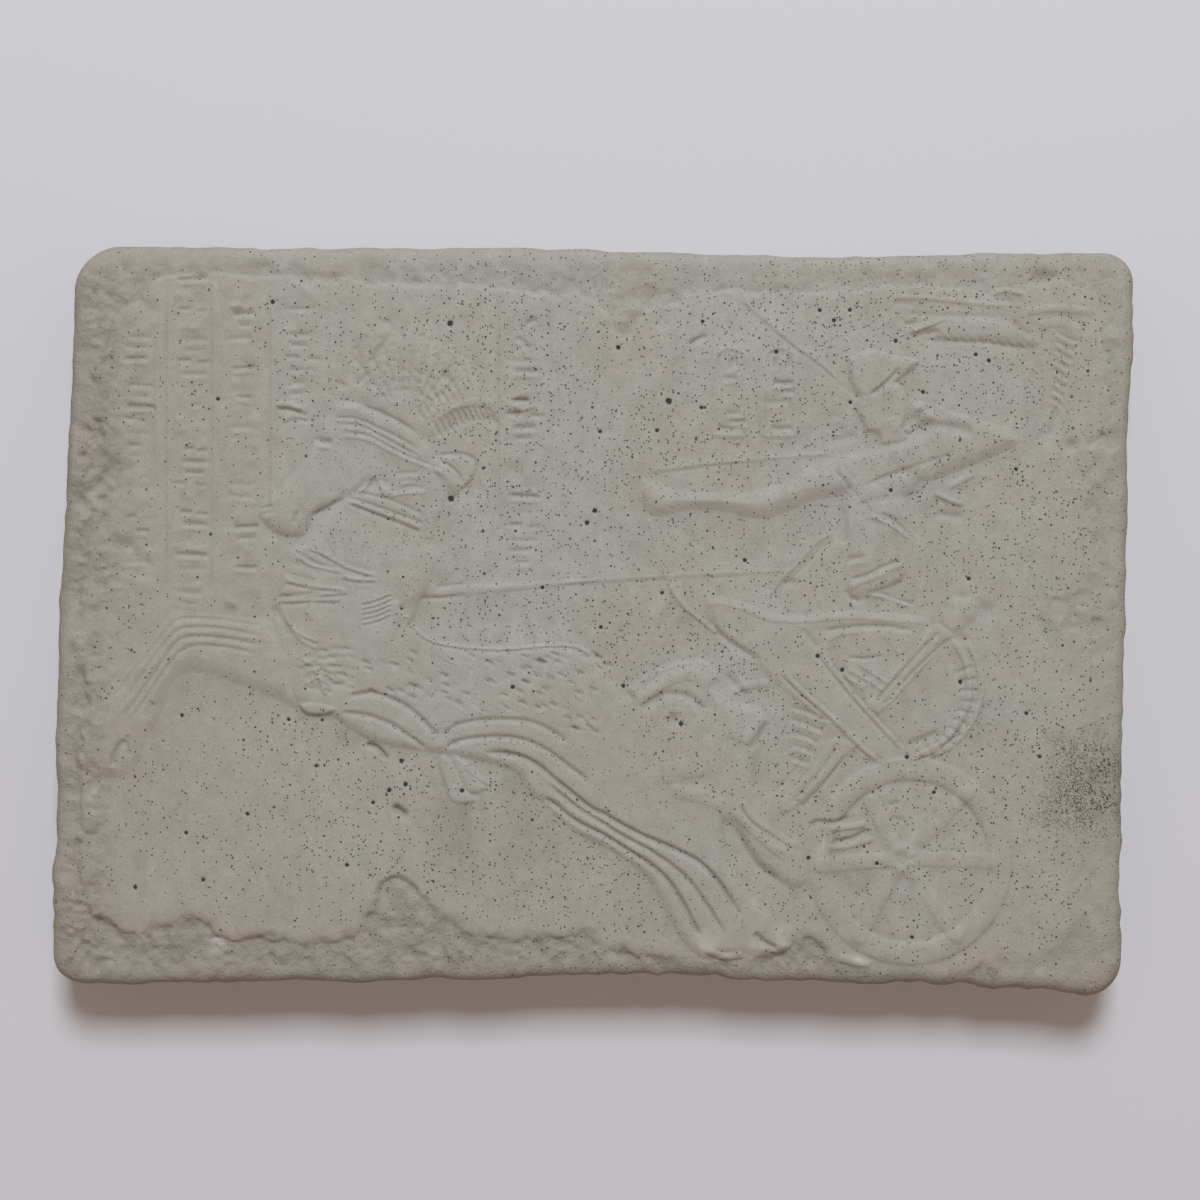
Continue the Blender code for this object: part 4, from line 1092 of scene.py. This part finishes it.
def face_places(sides, columns, rows):
    """Places over the face that follow its four sides, row by row from the bottom."""
    top = spaced(sides[0], columns)
    right = spaced(sides[1], rows)[::-1]
    bottom = spaced(sides[2], columns)[::-1]
    left = spaced(sides[3], rows)
    u = np.linspace(0, 1, columns + 1)[None, :, None]
    v = np.linspace(0, 1, rows + 1)[:, None, None]
    across_face = left[:, None] * (1 - u) + right[:, None] * u
    up_face = bottom[None] * (1 - v) + top[None] * v
    corner = (bottom[0] * (1 - u) + bottom[-1] * u) * (1 - v) + (top[0] * (1 - u) + top[-1] * u) * v
    return (across_face + up_face - corner).reshape(-1, 2)


def edge_profile():
    """Rings from the face's edge to the back: how far out each lies, and its y."""
    rings = []
    for turn in np.linspace(0, np.pi / 2, 5)[1:]:
        rings.append((EDGE_ROUND * np.sin(turn), -SLAB_THICKNESS + EDGE_ROUND * (1 - np.cos(turn))))
    side = SLAB_THICKNESS - EDGE_ROUND
    for share in SIDE_RINGS:
        rings.append((EDGE_ROUND + SIDE_DRAFT * share, -side * (1 - share)))
    return rings


def boundary_ring(mesh):
    """The face's boundary vertices in order, clockwise as seen from the front."""
    start = next(edge for edge in mesh.edges if edge.is_boundary).verts[0]
    ring = []
    vertex = start
    came = None
    while not ring or vertex != start:
        ring.append(vertex)
        came = next(edge for edge in vertex.link_edges if edge.is_boundary and edge != came)
        vertex = came.other_vert(vertex)
    places = np.array([(vertex.co.x, vertex.co.z) for vertex in ring])
    following = np.roll(places, -1, axis=0)
    if (places[:, 0] * following[:, 1] - following[:, 0] * places[:, 1]).sum() > 0:
        ring.reverse()
    return ring


def ring_edges(mesh, ring):
    """The edges that join a ring's vertices."""
    return [mesh.edges.get((start, end)) for start, end in zip(ring, ring[1:] + ring[:1])]


def sample(layer, points):
    """A sheet layer's values at places on the plaque."""
    column, row = place_on_sheet(points)
    return layer[np.round(row).astype(int), np.round(column).astype(int)]


face_sides = inset_sides(slab_outline(), EDGE_ROUND + SIDE_DRAFT)
columns = round(PLAQUE_WIDTH / FACE_CELL)
rows = round(PLAQUE_HEIGHT / FACE_CELL)
places = face_places(face_sides, columns, rows)
block = bmesh.new()
bmesh.ops.create_grid(block, x_segments=columns, y_segments=rows, size=1)
for vertex, (x, z), height in zip(block.verts, places, read_sheet(places)):
    vertex.co = (x, -SLAB_THICKNESS - height, z)
ring = boundary_ring(block)
face_edge = np.array([(vertex.co.x, vertex.co.z) for vertex in ring])
outward = ring_normals(face_edge)
flash = BACK_FLASH * np.random.RandomState(9).uniform(-1, 1, len(ring))


def edge_lumps(size, seed):
    """Smooth unevenness round the edge, between -1 and 1, in lumps of a size in metres."""
    count = round(2 * (PLAQUE_WIDTH + PLAQUE_HEIGHT) / size)
    values = np.random.RandomState(seed).uniform(-1, 1, count)
    wanted = np.arange(len(ring)) * count / len(ring)
    return np.interp(wanted, np.arange(count + 1), np.append(values, values[0]))


lumps = 0.00030 * edge_lumps(0.009, 51) + 0.00020 * edge_lumps(0.0035, 52)
lumps = lumps * (1 + 0.9 * np.clip(-face_edge[:, 1] / 0.09, 0, 1))
for number, (out, y) in enumerate(edge_profile()):
    crumbs = 0.00014 * edge_lumps(0.0045, 60 + number) + 0.00004 * edge_lumps(0.0016, 80 + number)
    spread = face_edge + outward * (out + (lumps + crumbs) * min(1, out / 0.003))[:, None]
    if y == 0:
        spread = spread + outward * flash[:, None]
    lift = read_sheet(spread) * max(0, 1 - out / EDGE_ROUND)
    outer = [block.verts.new((x, y - height, z)) for (x, z), height in zip(spread, lift)]
    for k in range(len(ring)):
        block.faces.new((ring[k - 1], ring[k], outer[k], outer[k - 1]))
    ring = outer
bmesh.ops.edgeloop_fill(block, edges=ring_edges(block, ring))
bmesh.ops.recalc_face_normals(block, faces=block.faces)
carving = bpy.data.meshes.new("plaque")
block.to_mesh(carving)
block.free()
plaque = bpy.data.objects.new("plaque", carving)
bpy.context.scene.collection.objects.link(plaque)
fewer = plaque.modifiers.new("fewer facets", "DECIMATE")
fewer.ratio = FACETS / sum(len(face.vertices) - 2 for face in carving.polygons)
carving = bpy.data.meshes.new_from_object(plaque.evaluated_get(bpy.context.evaluated_depsgraph_get()))
plaque.modifiers.clear()
plaque.data = carving
spots = np.empty(3 * len(carving.vertices), np.float32)
carving.vertices.foreach_get("co", spots)
spots = spots.reshape(-1, 3)
spots[spots[:, 1] > -BACK_ZONE, 1] = 0
spots = np.clip(spots, np.array(cad_low), np.array(cad_high))
carving.vertices.foreach_set("co", spots.ravel())
carving.update()
carving.polygons.foreach_set("use_smooth", [True] * len(carving.polygons))
carving.set_sharp_from_angle(angle=np.radians(SHARP_ANGLE))
on_face = spots[:, 1] < -FACE_ZONE
layers = {
    "pits": pits, "bloom": bloom, "stain": stain, "warmth": warmth, "groove_shade": groove_shade,
    "pores": pores, "coarse": coarse,
}
for name, layer in layers.items():
    values = sample(layer, spots[:, (0, 2)]) * (1 if name in ("warmth", "pores") else on_face)
    carving.attributes.new(name, "FLOAT", "POINT").data.foreach_set("value", values.astype(np.float32))
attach(plaque, "root")
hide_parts("relief_plaque")

# Bare concrete: pale grey with a green cast in the middle, warmer towards the left and the foot, dull,
# grainy and full of pinholes whose dark insides are painted shade, with a painted shade where the
# carving is cut in.
COOL_GREY = (0.420, 0.408, 0.366)
WARM_GREY = (0.413, 0.368, 0.312)
RUBBLE_BROWN = (0.285, 0.250, 0.215)
# painted shade in the cut lines
CUT_SHADE = (0.20, 0.185, 0.16)
STAIN_BROWN = (0.17, 0.135, 0.105)
BLOOM_WHITE = (0.62, 0.60, 0.57)
# painted shade inside the pinholes
PAINTED_PORE_SHADE = (0.030, 0.027, 0.024)
ROUGHNESS = 0.9
SPECULAR = 0.25
BUMP_STRENGTH = 0.8
BUMP_DEPTH = 0.00022
# places to the metre, the largest size as a share of their spacing, and the share that is open
FINE_PORES = (1500, 0.42, 0.24)
MIDDLE_PORES = (640, 0.245, 0.33)
LARGE_PORES = (230, 0.11, 0.32)
STAIN_PORES = (1800, 0.6, 1.35)
concrete = bpy.data.materials.new("cast concrete")
concrete.use_nodes = True
nodes = concrete.node_tree.nodes
links = concrete.node_tree.links
shader = nodes["Principled BSDF"]
coordinates = nodes.new("ShaderNodeTexCoord")


def noise(scale, detail=3.0, roughness=0.55):
    """Noise over the concrete, with a given number of lumps to the metre."""
    node = nodes.new("ShaderNodeTexNoise")
    node.inputs["Scale"].default_value = scale
    node.inputs["Detail"].default_value = detail
    node.inputs["Roughness"].default_value = roughness
    links.new(coordinates.outputs["Object"], node.inputs["Vector"])
    return node.outputs["Fac"]


def attribute(name):
    """One of the plaque's own layers."""
    node = nodes.new("ShaderNodeAttribute")
    node.attribute_name = name
    return node.outputs["Fac"]


def sums(operation, first, second, third=None, clamp=False):
    """A math node's result."""
    node = nodes.new("ShaderNodeMath")
    node.operation = operation
    node.use_clamp = clamp
    for socket, value in zip(node.inputs, (first, second, third)):
        if isinstance(value, (int, float)):
            socket.default_value = value
        elif value is not None:
            links.new(value, socket)
    return node.outputs["Value"]


def blend_colour(share, first, second, kind="MIX"):
    """Two colours mixed."""
    node = nodes.new("ShaderNodeMix")
    node.data_type = "RGBA"
    node.blend_type = kind
    for socket, value in ((node.inputs[0], share), (node.inputs[6], first), (node.inputs[7], second)):
        if isinstance(value, (int, float)):
            socket.default_value = value
        elif isinstance(value, tuple):
            socket.default_value = (*value, 1.0)
        else:
            links.new(value, socket)
    return node.outputs[2]


def pinholes(scale, size, share):
    """Round holes, 1 inside them, at so many places to the metre."""
    cells = nodes.new("ShaderNodeTexVoronoi")
    cells.inputs["Scale"].default_value = scale
    links.new(coordinates.outputs["Object"], cells.inputs["Vector"])
    parted = nodes.new("ShaderNodeSeparateColor")
    links.new(cells.outputs["Color"], parted.inputs["Color"])
    opened = sums("LESS_THAN", parted.outputs["Red"], sums("MULTIPLY", attribute("pores"), share))
    chance = sums("POWER", parted.outputs["Green"], 1.6)
    reach = sums("MULTIPLY_ADD", chance, 0.65 * size, 0.35 * size)
    within = sums("SUBTRACT", reach, cells.outputs["Distance"])
    inside = sums("MULTIPLY", within, 1 / (0.09 * size), clamp=True)
    depth = sums("MULTIPLY_ADD", parted.outputs["Blue"], 0.3, 0.7)
    return sums("MULTIPLY", sums("MULTIPLY", inside, opened), depth)


warm = sums("ADD", attribute("warmth"), sums("MULTIPLY_ADD", noise(45), 0.9, -0.45), clamp=True)
colour = blend_colour(warm, COOL_GREY, WARM_GREY)
crumbly = sums("MULTIPLY_ADD", noise(520, 3.0), 1.6, -0.25)
crumbs = sums("MULTIPLY", attribute("coarse"), crumbly, clamp=True)
colour = blend_colour(sums("MULTIPLY", crumbs, 0.5), colour, RUBBLE_BROWN)
mottle = sums("MULTIPLY_ADD", noise(260, 4.0), 0.34, 0.83)
colour = blend_colour(1.0, colour, mottle, "MULTIPLY")
grain = noise(2600, 2.0, 0.7)
colour = blend_colour(1.0, colour, sums("MULTIPLY_ADD", grain, 0.64, 0.68), "MULTIPLY")
# painted shade in the cut lines, from the blurred relief
painted_groove_shade = sums("MULTIPLY", attribute("groove_shade"), 0.35, clamp=True)
colour = blend_colour(painted_groove_shade, colour, CUT_SHADE)
stained = attribute("stain")
patchy = sums("MULTIPLY_ADD", noise(700, 4.0, 0.7), 3.2, -1.0)
soiled = sums("MULTIPLY", stained, patchy, clamp=True)
colour = blend_colour(sums("MULTIPLY", soiled, 0.6), colour, STAIN_BROWN)
whitened = sums("MULTIPLY", attribute("bloom"), 0.7, clamp=True)
colour = blend_colour(whitened, colour, BLOOM_WHITE)
in_stain = sums("MULTIPLY", stained, 1.5, clamp=True)
stain_holes = sums("MULTIPLY", pinholes(*STAIN_PORES), in_stain)
holes = sums("MAXIMUM", pinholes(*FINE_PORES), pinholes(*MIDDLE_PORES))
holes = sums("MAXIMUM", holes, stain_holes)
deep_pits = sums("MULTIPLY_ADD", attribute("pits"), 8.0, -4.5, clamp=True)
holes = sums("MAXIMUM", sums("MAXIMUM", holes, pinholes(*LARGE_PORES)), deep_pits)
# the pinholes and pits are painted near black: painted shade inside them
colour = blend_colour(sums("MULTIPLY", holes, 0.93), colour, PAINTED_PORE_SHADE)
links.new(colour, shader.inputs["Base Color"])
shader.inputs["Roughness"].default_value = ROUGHNESS
shader.inputs["Specular IOR Level"].default_value = SPECULAR
surface = sums("SUBTRACT", sums("MULTIPLY", grain, 0.25), holes)
surface = sums("ADD", surface, sums("MULTIPLY", noise(700, 3.0), 0.5))
rubble_bumps = sums("MULTIPLY", noise(900, 4.0, 0.7), 4.2)
surface = sums("ADD", surface, sums("MULTIPLY", rubble_bumps, attribute("coarse")))
bump = nodes.new("ShaderNodeBump")
bump.inputs["Strength"].default_value = BUMP_STRENGTH
bump.inputs["Distance"].default_value = BUMP_DEPTH
links.new(surface, bump.inputs["Height"])
links.new(bump.outputs["Normal"], shader.inputs["Normal"])
carving.materials.clear()
carving.materials.append(concrete)

# The table it lies on in the photograph, here a pale matt wall close behind the upright plaque that
# curves into a floor far below. It shows from its front only, so the plaque's back can be seen.
WALL_GAP = 0.0052
WALL_TOP = 1.4
WALL_HALF_WIDTH = 1.9
COVE = 0.5
COVE_TOP = -0.5
FLOOR_END = -2.6
WALL_COLOUR = (0.711, 0.688, 0.715, 1.0)
wall_line = [(WALL_GAP, WALL_TOP)]
for turn in np.linspace(0, np.pi / 2, 13):
    wall_line.append((WALL_GAP - COVE * (1 - np.cos(turn)), COVE_TOP - COVE * np.sin(turn)))
wall_line.append((FLOOR_END, COVE_TOP - COVE))
sweep = bmesh.new()
bmesh.ops.create_grid(sweep, x_segments=1, y_segments=len(wall_line) - 1, size=1)
for number, vertex in enumerate(sweep.verts):
    depth, height = wall_line[len(wall_line) - 1 - number // 2]
    vertex.co = (-WALL_HALF_WIDTH if number % 2 == 0 else WALL_HALF_WIDTH, depth, height)
backdrop_mesh = bpy.data.meshes.new("backdrop")
sweep.to_mesh(backdrop_mesh)
sweep.free()
backdrop_mesh.polygons.foreach_set("use_smooth", [True] * len(backdrop_mesh.polygons))
backdrop = bpy.data.objects.new("backdrop", backdrop_mesh)
bpy.context.scene.collection.objects.link(backdrop)
backdrop.visible_diffuse = False
backdrop.visible_glossy = False
backdrop.visible_shadow = False
paper = bpy.data.materials.new("pale paper")
paper.use_nodes = True
paper_nodes = paper.node_tree.nodes
paper_links = paper.node_tree.links
paper_shader = paper_nodes["Principled BSDF"]
paper_shader.inputs["Base Color"].default_value = WALL_COLOUR
paper_shader.inputs["Roughness"].default_value = 0.95
paper_shader.inputs["Specular IOR Level"].default_value = 0.1
clear = paper_nodes.new("ShaderNodeBsdfTransparent")
facing = paper_nodes.new("ShaderNodeNewGeometry")
either = paper_nodes.new("ShaderNodeMixShader")
paper_links.new(facing.outputs["Backfacing"], either.inputs["Fac"])
paper_links.new(paper_shader.outputs["BSDF"], either.inputs[1])
paper_links.new(clear.outputs["BSDF"], either.inputs[2])
paper_links.new(either.outputs["Shader"], paper_nodes["Material Output"].inputs["Surface"])
backdrop_mesh.materials.append(paper)
backdrop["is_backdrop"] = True

# Light as from a window above and in front, soft enough to leave only a narrow shadow under the
# plaque, and a weak one behind it for its back.
ROOM_COLOUR = (1.0, 0.815, 0.695, 1.0)
ROOM_STRENGTH = 0.345
WINDOW_PLACE = (0.08, -1.865, 1.51)
WINDOW_COLOUR = (0.795, 0.915, 1.0)
REAR_PLACE = (0.4, 1.3, 0.6)
REAR_COLOUR = (1.0, 1.0, 1.0)
world = bpy.data.worlds.new("room")
bpy.context.scene.world = world
world.use_nodes = True
sky = world.node_tree.nodes["Background"]
sky.inputs["Color"].default_value = ROOM_COLOUR
sky.inputs["Strength"].default_value = ROOM_STRENGTH


def area_light(name, place, size, power, colour):
    """A square light that faces the plaque."""
    lamp = bpy.data.lights.new(name, "AREA")
    lamp.size = size
    lamp.energy = power
    lamp.color = colour
    light = bpy.data.objects.new(name, lamp)
    light.location = place
    light.rotation_euler = (-light.location).to_track_quat("-Z", "Y").to_euler()
    bpy.context.scene.collection.objects.link(light)


area_light("window", WINDOW_PLACE, size=0.73, power=43.0, colour=WINDOW_COLOUR)
area_light("rear fill", REAR_PLACE, size=1.0, power=6.0, colour=REAR_COLOUR)

# The camera, square to the face at rather more than half a metre, with the whole plaque and some of
# the wall in its picture, as in the photograph.
SENSOR = 36
FRAME_WIDTH = 0.3320
FACE_DISTANCE = 0.565
CAMERA_PLACE = (0.00207, -0.575, 0.00608)
camera_data = bpy.data.cameras.new("camera")
camera_data.sensor_width = SENSOR
camera_data.lens = SENSOR / FRAME_WIDTH * FACE_DISTANCE
camera = bpy.data.objects.new("camera", camera_data)
camera.location = CAMERA_PLACE
camera.rotation_euler = (np.pi / 2, 0, 0)
bpy.context.scene.collection.objects.link(camera)
bpy.context.scene.camera = camera

low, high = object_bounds()
